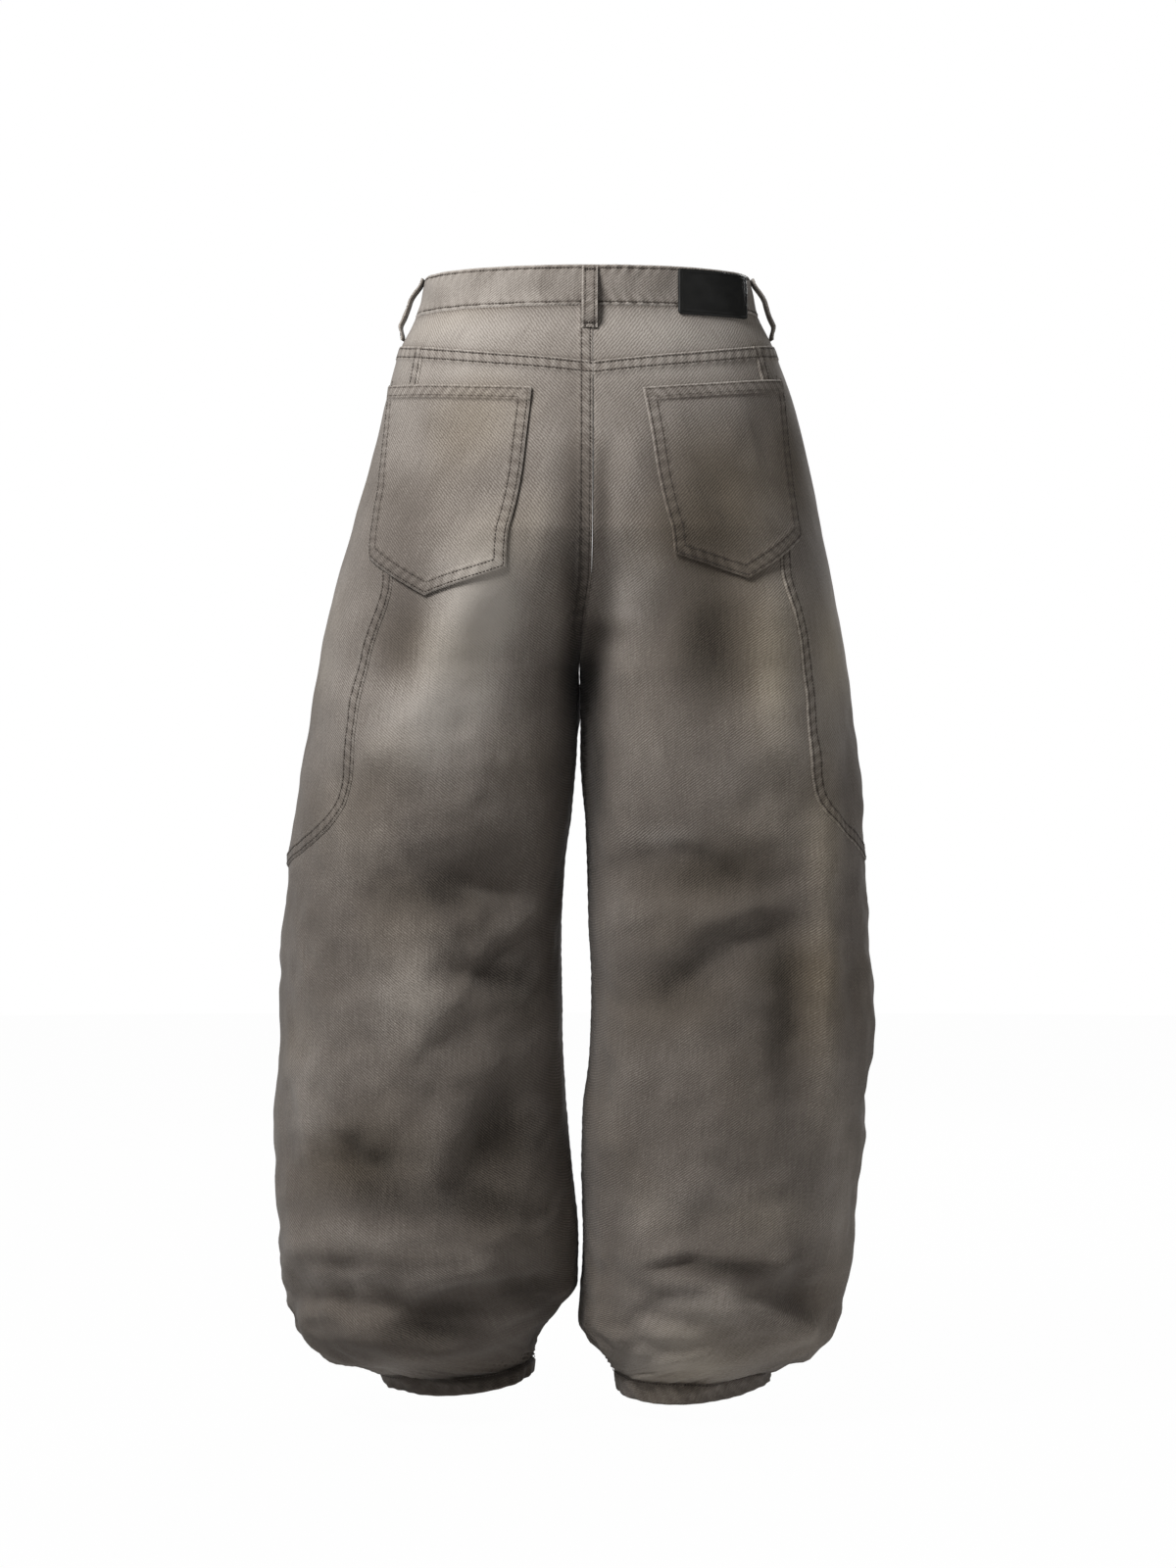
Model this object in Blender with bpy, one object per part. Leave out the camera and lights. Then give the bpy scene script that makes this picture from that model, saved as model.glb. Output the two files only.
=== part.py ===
"""Wide barrel-leg jeans, filled out as if worn, open at the waist and at both hems.

Metres, +Z up. The front faces -Y and the wearer's left is +X. The origin is the
centre of the waist opening, at the middle of the waistband's height.

The outside of the cloth is one surface for each side of the body. A place on it is
a share of the way round and a level. The share runs from -1 at the inner back edge
(centre back seam, then inseam), through 0 at the outer side, to 1 at the inner
front edge. The level is the height of the section that the place lies on.
"""

import math
from collections import namedtuple
from functools import lru_cache

import bmesh
import bpy
from mathutils import Matrix, Vector
from mathutils.bvhtree import BVHTree

LEFT, RIGHT = 1, -1
SIDE_NAMES = {LEFT: "left", RIGHT: "right"}
BACK, FRONT = 1, -1

CLOTH = 0.0016
HEM_CLOTH = 0.0028
BAND_CLOTH = 0.0030
POCKET_CLOTH = 0.0014
LOOP_CLOTH = 0.0018
LEATHER = 0.0016
SEAM_GAP = 0.0003
ON_CLOTH = 0.0006
ON_SEAT = 0.0018
LOOK_FROM = 0.020

BAND_TOP, BAND_BOTTOM = 0.018, -0.018
SEAT_TOP, CROTCH = -0.100, -0.335
THIGH_TOP, THIGH_FULL = -0.115, -0.405
SIDE_PANEL_BOTTOM = -0.511
UNDER_TIP = 0.003
RIGHT_PANEL_RAISE = 0.006
FRONT_EDGE_SHARE = 0.62

Section = namedtuple("Section", "level outer inner back front lean dip")
SECTIONS = {
    LEFT: [
        Section(0.030, 0.1430, 0.0000, 0.1090, 0.1080, 0.000, 0.000),
        Section(0.018, 0.1450, 0.0000, 0.1100, 0.1090, 0.000, 0.000),
        Section(-0.018, 0.1540, 0.0000, 0.1140, 0.1130, 0.000, 0.000),
        Section(-0.044, 0.1670, 0.0000, 0.1220, 0.1190, 0.000, 0.000),
        Section(-0.097, 0.1815, 0.0000, 0.1360, 0.1240, 0.000, 0.000),
        Section(-0.150, 0.1955, 0.0000, 0.1460, 0.1260, 0.000, 0.000),
        Section(-0.203, 0.2100, 0.0000, 0.1500, 0.1270, 0.000, 0.000),
        Section(-0.256, 0.2250, 0.0020, 0.1480, 0.1270, 0.000, 0.000),
        Section(-0.308, 0.2370, 0.0060, 0.1410, 0.1270, 0.000, 0.000),
        Section(-0.335, 0.2415, 0.0080, 0.1370, 0.1265, 0.000, 0.000),
        Section(-0.361, 0.2470, 0.0086, 0.1340, 0.1265, 0.000, 0.000),
        Section(-0.414, 0.2550, 0.0106, 0.1300, 0.1275, 0.000, 0.000),
        Section(-0.467, 0.2625, 0.0158, 0.1265, 0.1295, 0.000, 0.000),
        Section(-0.520, 0.2695, 0.0220, 0.1240, 0.1325, 0.000, 0.000),
        Section(-0.572, 0.2745, 0.0238, 0.1220, 0.1355, 0.000, 0.000),
        Section(-0.625, 0.2765, 0.0232, 0.1215, 0.1375, 0.000, 0.000),
        Section(-0.678, 0.2775, 0.0225, 0.1220, 0.1380, 0.000, 0.000),
        Section(-0.731, 0.2800, 0.0188, 0.1230, 0.1370, 0.000, 0.000),
        Section(-0.784, 0.2805, 0.0141, 0.1230, 0.1340, 0.000, 0.000),
        Section(-0.836, 0.2785, 0.0085, 0.1215, 0.1300, 0.000, 0.000),
        Section(-0.885, 0.2725, 0.0095, 0.1170, 0.1240, -0.006, -0.002),
        Section(-0.908, 0.2645, 0.0235, 0.1110, 0.1170, -0.014, -0.004),
        Section(-0.9255, 0.2585, 0.0370, 0.1010, 0.1070, -0.012, -0.008),
        Section(-0.9395, 0.2390, 0.0465, 0.0880, 0.0960, -0.009, -0.012),
        Section(-0.9500, 0.2060, 0.0485, 0.0740, 0.0840, -0.009, -0.016),
        Section(-0.954, 0.1920, 0.0485, 0.0700, 0.0790, -0.009, -0.018),
        Section(-0.966, 0.1780, 0.0500, 0.0680, 0.0770, -0.009, -0.020),
    ],
    RIGHT: [
        Section(0.030, 0.1430, 0.0000, 0.1090, 0.1080, 0.000, 0.000),
        Section(0.018, 0.1450, 0.0000, 0.1100, 0.1090, 0.000, 0.000),
        Section(-0.018, 0.1530, 0.0000, 0.1140, 0.1130, 0.000, 0.000),
        Section(-0.044, 0.1655, 0.0000, 0.1220, 0.1190, 0.000, 0.000),
        Section(-0.097, 0.1845, 0.0000, 0.1360, 0.1240, 0.000, 0.000),
        Section(-0.150, 0.1970, 0.0000, 0.1460, 0.1260, 0.000, 0.000),
        Section(-0.203, 0.2080, 0.0000, 0.1500, 0.1270, 0.000, 0.000),
        Section(-0.256, 0.2185, -0.0020, 0.1480, 0.1270, 0.000, 0.000),
        Section(-0.308, 0.2285, -0.0060, 0.1410, 0.1270, 0.000, 0.000),
        Section(-0.335, 0.2320, -0.0076, 0.1370, 0.1265, 0.000, 0.000),
        Section(-0.361, 0.2360, -0.0070, 0.1340, 0.1265, 0.000, 0.000),
        Section(-0.414, 0.2415, -0.0068, 0.1300, 0.1275, 0.000, 0.000),
        Section(-0.467, 0.2465, -0.0028, 0.1265, 0.1295, 0.000, 0.000),
        Section(-0.520, 0.2500, -0.0008, 0.1240, 0.1325, 0.000, 0.000),
        Section(-0.572, 0.2525, 0.0010, 0.1225, 0.1355, 0.000, 0.000),
        Section(-0.625, 0.2560, 0.0030, 0.1220, 0.1375, 0.000, 0.000),
        Section(-0.678, 0.2540, 0.0015, 0.1225, 0.1380, 0.000, 0.000),
        Section(-0.731, 0.2480, -0.0050, 0.1235, 0.1370, 0.000, 0.000),
        Section(-0.784, 0.2435, -0.0060, 0.1240, 0.1340, 0.000, 0.000),
        Section(-0.836, 0.2385, -0.0044, 0.1225, 0.1300, 0.000, 0.000),
        Section(-0.889, 0.2315, -0.0070, 0.1185, 0.1240, 0.000, -0.002),
        Section(-0.916, 0.2235, -0.0088, 0.1120, 0.1160, 0.000, -0.004),
        Section(-0.931, 0.2160, 0.0000, 0.1030, 0.1070, 0.000, -0.008),
        Section(-0.943, 0.2040, 0.0115, 0.0910, 0.0960, 0.003, -0.012),
        Section(-0.953, 0.1760, 0.0200, 0.0780, 0.0850, 0.005, -0.016),
        Section(-0.958, 0.1690, 0.0230, 0.0740, 0.0800, 0.007, -0.018),
        Section(-0.973, 0.1640, 0.0260, 0.0710, 0.0780, 0.010, -0.020),
    ],
}
HEM_LEVELS = {LEFT: (-0.954, -0.966), RIGHT: (-0.958, -0.973)}

Mid = namedtuple("Mid", "level x")
MIDDLE = [
    Mid(0.030, -0.0045),
    Mid(-0.250, -0.0045),
    Mid(-0.293, 0.0018),
    Mid(-0.308, 0.0042),
    Mid(-0.335, 0.0078),
    Mid(-0.361, 0.0078),
]

YokeSeam = namedtuple("YokeSeam", "share level")
YOKE_SEAM = [
    YokeSeam(-1.00, -0.0680),
    YokeSeam(-0.75, -0.0605),
    YokeSeam(-0.50, -0.0535),
    YokeSeam(-0.25, -0.0475),
    YokeSeam(0.00, -0.0435),
    YokeSeam(0.40, -0.0410),
]

PanelEdge = namedtuple("PanelEdge", "level share")
SIDE_PANEL_EDGE = [
    PanelEdge(0.000, -0.335),
    PanelEdge(-0.043, -0.340),
    PanelEdge(-0.090, -0.358),
    PanelEdge(-0.170, -0.374),
    PanelEdge(-0.250, -0.374),
    PanelEdge(-0.323, -0.315),
    PanelEdge(-0.365, -0.302),
    PanelEdge(-0.415, -0.304),
    PanelEdge(-0.450, -0.294),
    PanelEdge(-0.467, -0.272),
    PanelEdge(-0.481, -0.226),
    PanelEdge(-0.494, -0.158),
    PanelEdge(-0.503, -0.098),
    PanelEdge(-0.509, -0.040),
    PanelEdge(-0.511, -0.010),
]

Fold = namedtuple("Fold", "side face x1 z1 x2 z2 width depth")
FOLDS = [
    Fold(LEFT, BACK, 0.162, -0.285, 0.158, -0.325, 0.040, -0.008),
    Fold(LEFT, BACK, 0.112, -0.265, 0.172, -0.400, 0.034, 0.007),
    Fold(LEFT, BACK, 0.145, -0.515, 0.072, -0.525, 0.026, -0.010),
    Fold(LEFT, BACK, 0.170, -0.540, 0.118, -0.600, 0.022, -0.007),
    Fold(LEFT, BACK, 0.040, -0.535, 0.110, -0.600, 0.022, -0.006),
    Fold(LEFT, BACK, 0.150, -0.570, 0.145, -0.620, 0.026, 0.006),
    Fold(LEFT, BACK, 0.108, -0.790, 0.066, -0.710, 0.026, -0.010),
    Fold(LEFT, BACK, 0.235, -0.780, 0.175, -0.775, 0.028, -0.008),
    Fold(LEFT, BACK, 0.262, -0.850, 0.100, -0.858, 0.022, 0.008),
    Fold(LEFT, BACK, 0.262, -0.890, 0.110, -0.884, 0.018, -0.008),
    Fold(LEFT, BACK, 0.150, -0.905, 0.042, -0.886, 0.018, -0.007),
    Fold(LEFT, BACK, 0.200, -0.915, 0.120, -0.922, 0.018, 0.006),
    Fold(RIGHT, BACK, 0.110, -0.265, 0.114, -0.345, 0.036, -0.007),
    Fold(RIGHT, BACK, 0.165, -0.290, 0.176, -0.400, 0.030, 0.007),
    Fold(RIGHT, BACK, 0.205, -0.420, 0.215, -0.720, 0.022, 0.006),
    Fold(RIGHT, BACK, 0.056, -0.500, 0.150, -0.522, 0.026, -0.010),
    Fold(RIGHT, BACK, 0.155, -0.565, 0.070, -0.615, 0.024, -0.010),
    Fold(RIGHT, BACK, 0.180, -0.575, 0.182, -0.710, 0.020, -0.007),
    Fold(RIGHT, BACK, 0.060, -0.862, 0.165, -0.866, 0.022, 0.007),
    Fold(RIGHT, BACK, 0.150, -0.884, 0.212, -0.890, 0.020, -0.008),
    Fold(RIGHT, BACK, 0.090, -0.884, 0.190, -0.918, 0.016, 0.005),
    Fold(LEFT, FRONT, 0.060, -0.300, 0.180, -0.250, 0.026, -0.006),
    Fold(LEFT, FRONT, 0.190, -0.470, 0.090, -0.500, 0.028, -0.008),
    Fold(LEFT, FRONT, 0.080, -0.600, 0.200, -0.650, 0.030, 0.007),
    Fold(LEFT, FRONT, 0.210, -0.760, 0.100, -0.745, 0.026, -0.008),
    Fold(LEFT, FRONT, 0.250, -0.865, 0.060, -0.852, 0.022, 0.007),
    Fold(LEFT, FRONT, 0.240, -0.898, 0.070, -0.890, 0.018, -0.007),
    Fold(RIGHT, FRONT, 0.050, -0.290, 0.165, -0.245, 0.026, -0.006),
    Fold(RIGHT, FRONT, 0.060, -0.480, 0.170, -0.505, 0.028, -0.008),
    Fold(RIGHT, FRONT, 0.180, -0.590, 0.070, -0.640, 0.030, 0.007),
    Fold(RIGHT, FRONT, 0.060, -0.765, 0.180, -0.740, 0.026, -0.008),
    Fold(RIGHT, FRONT, 0.040, -0.855, 0.205, -0.868, 0.022, 0.007),
    Fold(RIGHT, FRONT, 0.050, -0.892, 0.200, -0.902, 0.018, -0.007),
]

Pocket = namedtuple("Pocket", "side top_in top_out low_in tip low_out")
POCKETS = [
    Pocket(LEFT, (0.0485, -0.0914), (0.1745, -0.0814), (0.0713, -0.2475), (0.1412, -0.2725), (0.1902, -0.2380)),
    Pocket(RIGHT, (0.0468, -0.0920), (0.1690, -0.0776), (0.0747, -0.2364), (0.1381, -0.2576), (0.1855, -0.2202)),
]

Loop = namedtuple("Loop", "name side share bulge")
LOOPS = [
    Loop("loop_back", LEFT, -0.988, 0.0062),
    Loop("loop_side_left", LEFT, 0.000, 0.0086),
    Loop("loop_side_right", RIGHT, 0.000, 0.0086),
    Loop("loop_front_left", LEFT, 0.700, 0.0078),
    Loop("loop_front_right", RIGHT, 0.700, 0.0078),
]
LOOP_WIDTH = 0.0137
LOOP_TOP, LOOP_BOTTOM = 0.0165, -0.0385
LOOP_SEAT = 0.0007

PATCH_TOP, PATCH_BOTTOM = 0.0160, -0.0248
PATCH_IN, PATCH_OUT = 0.0785, 0.1405

UNDER_END, OVER_END = -2.20, 2.03
UNDER_START, UNDER_FULL = -1.80, -1.93
BAND_COLUMNS = 60

FLY_EDGE, FLY_WIDTH = -0.004, 0.040
FLY_TOP, FLY_CURVE, FLY_BOTTOM = -0.0205, -0.150, -0.196

BUTTON_RADIUS, BUTTON_HEIGHT = 0.0085, 0.0036
BUTTON_X, BUTTON_LEVEL = 0.009, 0.000

YOKE_COLUMNS, BACK_COLUMNS, SIDE_COLUMNS, FRONT_COLUMNS = 14, 12, 5, 11

DENIM = ("denim", (0.155, 0.128, 0.108), 0.9, 0.0)
DENIM_DARK = ("denim_band", (0.205, 0.175, 0.152), 0.9, 0.0)
BLACK_LEATHER = ("patch_leather", (0.012, 0.012, 0.010), 0.45, 0.0)
METAL = ("button_metal", (0.30, 0.27, 0.22), 0.35, 1.0)


def clear_scene():
    for thing in list(bpy.data.objects):
        bpy.data.objects.remove(thing, do_unlink=True)


def finish(name, colour, roughness, metallic):
    material = bpy.data.materials.get(name) or bpy.data.materials.new(name)
    material.use_nodes = True
    shader = material.node_tree.nodes["Principled BSDF"]
    shader.inputs["Base Color"].default_value = (*colour, 1.0)
    shader.inputs["Roughness"].default_value = roughness
    shader.inputs["Metallic"].default_value = metallic
    return material


def clamp(value, low=0.0, high=1.0):
    return max(low, min(high, value))


def smooth_step(value):
    value = clamp(value)
    return value * value * (3.0 - 2.0 * value)


def read_table(rows, key, column, place):
    """Smooth curve through one column of a table whose key rises or falls steadily."""
    keys = [getattr(row, key) for row in rows]
    values = [getattr(row, column) for row in rows]
    if keys[0] > keys[-1]:
        keys.reverse()
        values.reverse()
    if place <= keys[0]:
        return values[0]
    if place >= keys[-1]:
        return values[-1]
    i = next(n for n in range(len(keys) - 1) if place <= keys[n + 1])
    gap = keys[i + 1] - keys[i]
    rise = (values[i + 1] - values[i]) / gap
    before = rise if i == 0 else (values[i] - values[i - 1]) / (keys[i] - keys[i - 1])
    after = rise if i + 2 == len(keys) else (values[i + 2] - values[i + 1]) / (keys[i + 2] - keys[i + 1])
    start = 0.0 if before * rise <= 0.0 else 2.0 * before * rise / (before + rise)
    end = 0.0 if after * rise <= 0.0 else 2.0 * after * rise / (after + rise)
    u = (place - keys[i]) / gap
    return (
        (1.0 + 2.0 * u) * (1.0 - u) ** 2 * values[i]
        + u * (1.0 - u) ** 2 * gap * start
        + u * u * (3.0 - 2.0 * u) * values[i + 1]
        + u * u * (u - 1.0) * gap * end
    )


@lru_cache(maxsize=None)
def section(side, level):
    return Section(*[level] + [read_table(SECTIONS[side], "level", name, level) for name in Section._fields[1:]])


def middle(side, level):
    return side * read_table(MIDDLE, "level", "x", level)


def leg_share(share, level):
    """0 where the cloth follows half of the hips, 1 where it follows a whole leg.

    At the inner edges it turns as a quarter ellipse, which is the crotch curve."""
    down = clamp((SEAT_TOP - level) / (SEAT_TOP - CROTCH))
    inner = 1.0 - math.sqrt(1.0 - down * down)
    outer = smooth_step((THIGH_TOP - level) / (THIGH_TOP - THIGH_FULL))
    return outer + (inner - outer) * share**4


def plain_depth(share, level):
    """How deep the section is at a share, before it is made as deep as the table says."""
    leg = leg_share(share, level)
    return (1.0 - leg) * math.sin(abs(share) * math.pi / 2.0) + leg * math.sin(abs(share) * math.pi)


@lru_cache(maxsize=None)
def deepest(level):
    return max(plain_depth(0.3 + 0.7 * i / 56, level) for i in range(57))


def base_place(side, share, level):
    """The smooth body under the folds."""
    cut = section(side, level)
    depth = (cut.back if share < 0.0 else -cut.front) / deepest(level)
    centre = middle(side, level)
    around = share * math.pi
    hip_x = centre + (cut.outer - centre) * math.cos(around / 2.0)
    leg_x = (cut.outer + cut.inner) / 2.0 + (cut.outer - cut.inner) / 2.0 * math.cos(around)
    leg = leg_share(share, level)
    x = hip_x * (1.0 - leg) + leg_x * leg
    y = plain_depth(share, level) * depth
    z = level + cut.lean / 2.0 * math.cos(around) - cut.dip / 2.0 * math.sin(around)
    return Vector((side * x, y, z))


def outward(place, side, share, level):
    """Unit normal of a surface function, pointing out of the garment."""
    reach, drop = 0.004, 0.0015
    low_share, high_share = max(-1.0, share - reach), min(1.0, share + reach)
    across = place(side, high_share, level) - place(side, low_share, level)
    down = place(side, share, level - drop) - place(side, share, level + drop)
    return (across.cross(down) * side).normalized()


def fold_height(side, share, spot, depth):
    """How far the folds lift the cloth here, out (+) or in (-)."""
    height = 0.0
    facing = spot.y / depth
    for fold in FOLDS:
        if fold.side != side or facing * fold.face <= 0.0:
            continue
        start = Vector((fold.x1 * side, fold.z1))
        run = Vector((fold.x2 * side, fold.z2)) - start
        away = Vector((spot.x, spot.z)) - start
        along = clamp(away.dot(run) / run.length_squared)
        distance = (away - run * along).length / fold.width
        if distance < 3.0:
            height += fold.depth * math.exp(-distance * distance) * min(1.0, 1.6 * abs(facing))
    return height * (1.0 - share**8)


def cloth_place(side, share, level):
    """The outside of the cloth, folds included, kept on its own side of the middle."""
    spot = base_place(side, share, level)
    cut = section(side, level)
    lift = fold_height(side, share, spot, cut.back if share < 0.0 else cut.front)
    if lift:
        spot = spot + outward(base_place, side, share, level) * lift
    return keep_aside(spot, side, level)


@lru_cache(maxsize=None)
def seam_line(level):
    """The x of the centre seams, midway between the inner edges of the two sides."""
    return (base_place(LEFT, -1.0, level).x + base_place(RIGHT, -1.0, level).x) / 2.0


def keep_aside(spot, side, level):
    """Above the crotch, cloth stays half a seam's gap clear of the centre seam."""
    if level > CROTCH - 0.001:
        spot.x = side * max(side * spot.x, side * seam_line(level) + SEAM_GAP / 2.0)
    return spot


def lifted(side, share, level, height):
    spot = cloth_place(side, share, level) + outward(cloth_place, side, share, level) * height
    return keep_aside(spot, side, level) if abs(share) > 0.5 else spot


def share_at(side, face, level, x):
    """The share on the back or front half where the cloth is x from the middle plane."""
    near, far = 0.0, 1.0
    for _ in range(40):
        half = (near + far) / 2.0
        if side * cloth_place(side, -face * half, level).x > x:
            near = half
        else:
            far = half
    return -face * (near + far) / 2.0


def side_edge(side, level, face):
    """The share of the side panel's back or front edge at a level."""
    raise_by = RIGHT_PANEL_RAISE * clamp(-level / 0.3) if side == RIGHT else 0.0
    share = read_table(SIDE_PANEL_EDGE, "level", "share", level - raise_by)
    return share if face == BACK else -share * FRONT_EDGE_SHARE


def side_bottom(side):
    return SIDE_PANEL_BOTTOM + (RIGHT_PANEL_RAISE if side == RIGHT else 0.0)


def just_under(side, level):
    """Whether this is the first row below the side panel's end."""
    return abs(level - (side_bottom(side) - UNDER_TIP)) < 0.00001


def yoke_seam(share):
    return read_table(YOKE_SEAM, "share", "level", share)


def metres_per_share(side, share, level):
    reach = 0.01
    return (base_place(side, share + reach, level) - base_place(side, share - reach, level)).length / (2.0 * reach)


def seam_step(side, level, face):
    """Half the seam's gap as a share, wider where the side panel's edge runs aslant."""
    drop = 0.001
    slope = (side_edge(side, level - drop, face) - side_edge(side, level + drop, face)) / (2.0 * drop)
    metres = metres_per_share(side, side_edge(side, level, face), level)
    return SEAM_GAP / 2.0 / metres * min(6.0, math.hypot(1.0, slope * metres))


def thickness(side, level):
    seam, edge = HEM_LEVELS[side]
    return CLOTH + (HEM_CLOTH - CLOTH) * smooth_step((seam + 0.004 - level) / 0.006)


def new_object(name, mesh, look, smooth_angle=0.6):
    thing = bpy.data.objects.new(name, mesh)
    bpy.context.scene.collection.objects.link(thing)
    mesh.shade_smooth()
    mesh.set_sharp_from_angle(angle=smooth_angle)
    mesh.materials.append(finish(*look))
    return thing


def wall(name, outside, inside, look):
    """A closed wall between two grids of points, with its outside facing out."""
    mesh = bmesh.new()
    rows, columns = len(outside), len(outside[0])
    outer = [[mesh.verts.new(point) for point in row] for row in outside]
    inner = [[mesh.verts.new(point) for point in row] for row in inside]
    for i in range(rows - 1):
        for j in range(columns - 1):
            mesh.faces.new((outer[i][j], outer[i][j + 1], outer[i + 1][j + 1], outer[i + 1][j]))
            mesh.faces.new((inner[i][j], inner[i + 1][j], inner[i + 1][j + 1], inner[i][j + 1]))
    rim = [(0, j) for j in range(columns)]
    rim += [(i, columns - 1) for i in range(1, rows)]
    rim += [(rows - 1, j) for j in range(columns - 2, -1, -1)]
    rim += [(i, 0) for i in range(rows - 2, 0, -1)]
    for (i, j), (k, m) in zip(rim, rim[1:] + rim[:1]):
        mesh.faces.new((outer[i][j], inner[i][j], inner[k][m], outer[k][m]))
    bmesh.ops.triangulate(mesh, faces=mesh.faces[:])
    bmesh.ops.recalc_face_normals(mesh, faces=mesh.faces[:])
    if mesh.calc_volume(signed=True) < 0.0:
        bmesh.ops.reverse_faces(mesh, faces=mesh.faces[:])
    data = bpy.data.meshes.new(name)
    mesh.to_mesh(data)
    mesh.free()
    return new_object(name, data, look)


def cloth_wall(name, places, look):
    """A wall of cloth whose outside follows a grid of (side, share, level)."""
    outside = [[cloth_place(*place) for place in row] for row in places]
    inside = [[lifted(*place, -thickness(place[0], place[2])) for place in row] for row in places]
    return wall(name, outside, inside, look)


def faces_of(names):
    """The faces of the pieces that carry another one, to measure from."""
    points, faces = [], []
    for name in names:
        mesh = bpy.data.objects[name].data
        faces += [[len(points) + i for i in face.vertices] for face in mesh.polygons]
        points += [vertex.co.copy() for vertex in mesh.vertices]
    return BVHTree.FromPolygons(points, faces)


def height_of(carrier, place):
    """How far the carrier's flat faces stand out of the smooth cloth at a place."""
    normal = outward(cloth_place, *place)
    _, _, _, distance = carrier.ray_cast(cloth_place(*place) + normal * LOOK_FROM, -normal, 1.2 * LOOK_FROM)
    return 0.0 if distance is None else LOOK_FROM - distance


def laid_wall(name, places, look, cloth, carriers, clear=ON_CLOTH):
    """A wall that lies just outside its carriers, over a grid of (side, share, level)."""
    carrier = faces_of(carriers)
    outside, inside = [], []
    for row in places:
        heights = [clear + height_of(carrier, place) for place in row]
        inside.append([lifted(*place, height) for place, height in zip(row, heights)])
        outside.append([lifted(*place, height + cloth) for place, height in zip(row, heights)])
    return wall(name, outside, inside, look)


def spread(low, high, count):
    return [low + (high - low) * i / count for i in range(count + 1)]


def crotch_rows():
    turns = (0, 11, 22, 33, 44, 56, 68, 79, 90)
    return [SEAT_TOP - math.sin(math.radians(turn)) * (SEAT_TOP - CROTCH) for turn in turns]


def body_rows(side):
    """Levels of the rows below the yoke, closer at the crotch, the side panel's end and the hem."""
    bottom = side_bottom(side)
    rows = crotch_rows()
    rows += [-0.352, -0.374, -0.398, -0.422, -0.446, -0.466]
    rows += [bottom + 0.031, bottom + 0.018, bottom + 0.008, bottom + 0.002]
    rows += [bottom, bottom - UNDER_TIP]
    rows += spread(bottom - 0.024, -0.864, 14)
    hem_seam, hem = HEM_LEVELS[side]
    rows += [-0.882, -0.898, -0.912, -0.924, -0.934, -0.942]
    rows += [hem_seam + 0.004, hem_seam, hem]
    return rows


def grid_row(side, start, end, level, columns):
    return [(side, share, level) for share in spread(start, end, columns)]


def build_yoke(side):
    rows = []
    for part in (0.0, 0.33, 0.67, 1.0):
        row = []
        for k in range(YOKE_COLUMNS + 1):
            top = BAND_BOTTOM - SEAM_GAP
            share = -1.0 + (side_edge(side, top, FRONT) + 1.0) * k / YOKE_COLUMNS
            level = top + (yoke_seam(share) + SEAM_GAP / 2.0 - top) * part
            front_end = side_edge(side, level, FRONT) - seam_step(side, level, FRONT)
            share = -1.0 + (front_end + 1.0) * k / YOKE_COLUMNS
            row.append((side, share, level))
        rows.append(row)
    return cloth_wall("yoke_" + SIDE_NAMES[side], rows, DENIM)


def build_side_panel(side):
    rows = []
    levels = [None] + [level for level in body_rows(side) if level > side_bottom(side) - SEAM_GAP / 2.0]
    for level in levels:
        row = []
        for k in range(SIDE_COLUMNS + 1):
            at = level if level is not None else -0.045
            low = side_edge(side, at, BACK) + seam_step(side, at, BACK)
            high = side_edge(side, at, FRONT) - seam_step(side, at, FRONT)
            share = low + (high - low) * k / SIDE_COLUMNS
            row.append((side, share, at if level is not None else yoke_seam(share) - SEAM_GAP / 2.0))
        rows.append(row)
    return cloth_wall("side_panel_" + SIDE_NAMES[side], rows, DENIM)


def build_back(side):
    """From the centre back seam and the inseam to the side panel and the outseam."""
    rows = []
    for level in [None] + body_rows(side):
        at = level if level is not None else -0.050
        if at > side_bottom(side) - SEAM_GAP / 2.0:
            end = side_edge(side, at, BACK) - seam_step(side, at, BACK)
        else:
            end = -SEAM_GAP / 2.0 / metres_per_share(side, 0.0, at)
        start = -1.0
        if at < CROTCH + 0.0001:
            start += SEAM_GAP / 2.0 / metres_per_share(side, -0.98, at)
        row = grid_row(side, start, end, at, BACK_COLUMNS)
        if just_under(side, at):
            row = [(side, share, at) for _, share, _ in rows[-1][:-1]] + [row[-1]]
        if level is None:
            row = [(side, share, yoke_seam(share) - SEAM_GAP / 2.0) for _, share, _ in row]
        rows.append(row)
    return cloth_wall("back_" + SIDE_NAMES[side], rows, DENIM)


def build_front(side):
    """From the side panel and the outseam to the centre front seam and the inseam."""
    rows = []
    for level in [BAND_BOTTOM - SEAM_GAP, -0.042, -0.068] + body_rows(side):
        if level > side_bottom(side) - SEAM_GAP / 2.0:
            start = side_edge(side, level, FRONT) + seam_step(side, level, FRONT)
        else:
            start = SEAM_GAP / 2.0 / metres_per_share(side, 0.0, level)
        end = 1.0
        if level < CROTCH + 0.0001:
            end -= SEAM_GAP / 2.0 / metres_per_share(side, 0.98, level)
        row = grid_row(side, start, end, level, FRONT_COLUMNS)
        if just_under(side, level):
            row = [row[0]] + [(side, share, level) for _, share, _ in rows[-1][1:]]
        rows.append(row)
    return cloth_wall("front_" + SIDE_NAMES[side], rows, DENIM)


def band_place(way, level):
    """A place along the waistband: 0 is centre back, 2 and -2 are centre front."""
    side = LEFT if way > 0.0 else RIGHT
    distance = abs(way)
    if distance > 2.0:
        return -side, 3.0 - distance, level
    return side, distance - 1.0, level


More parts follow.
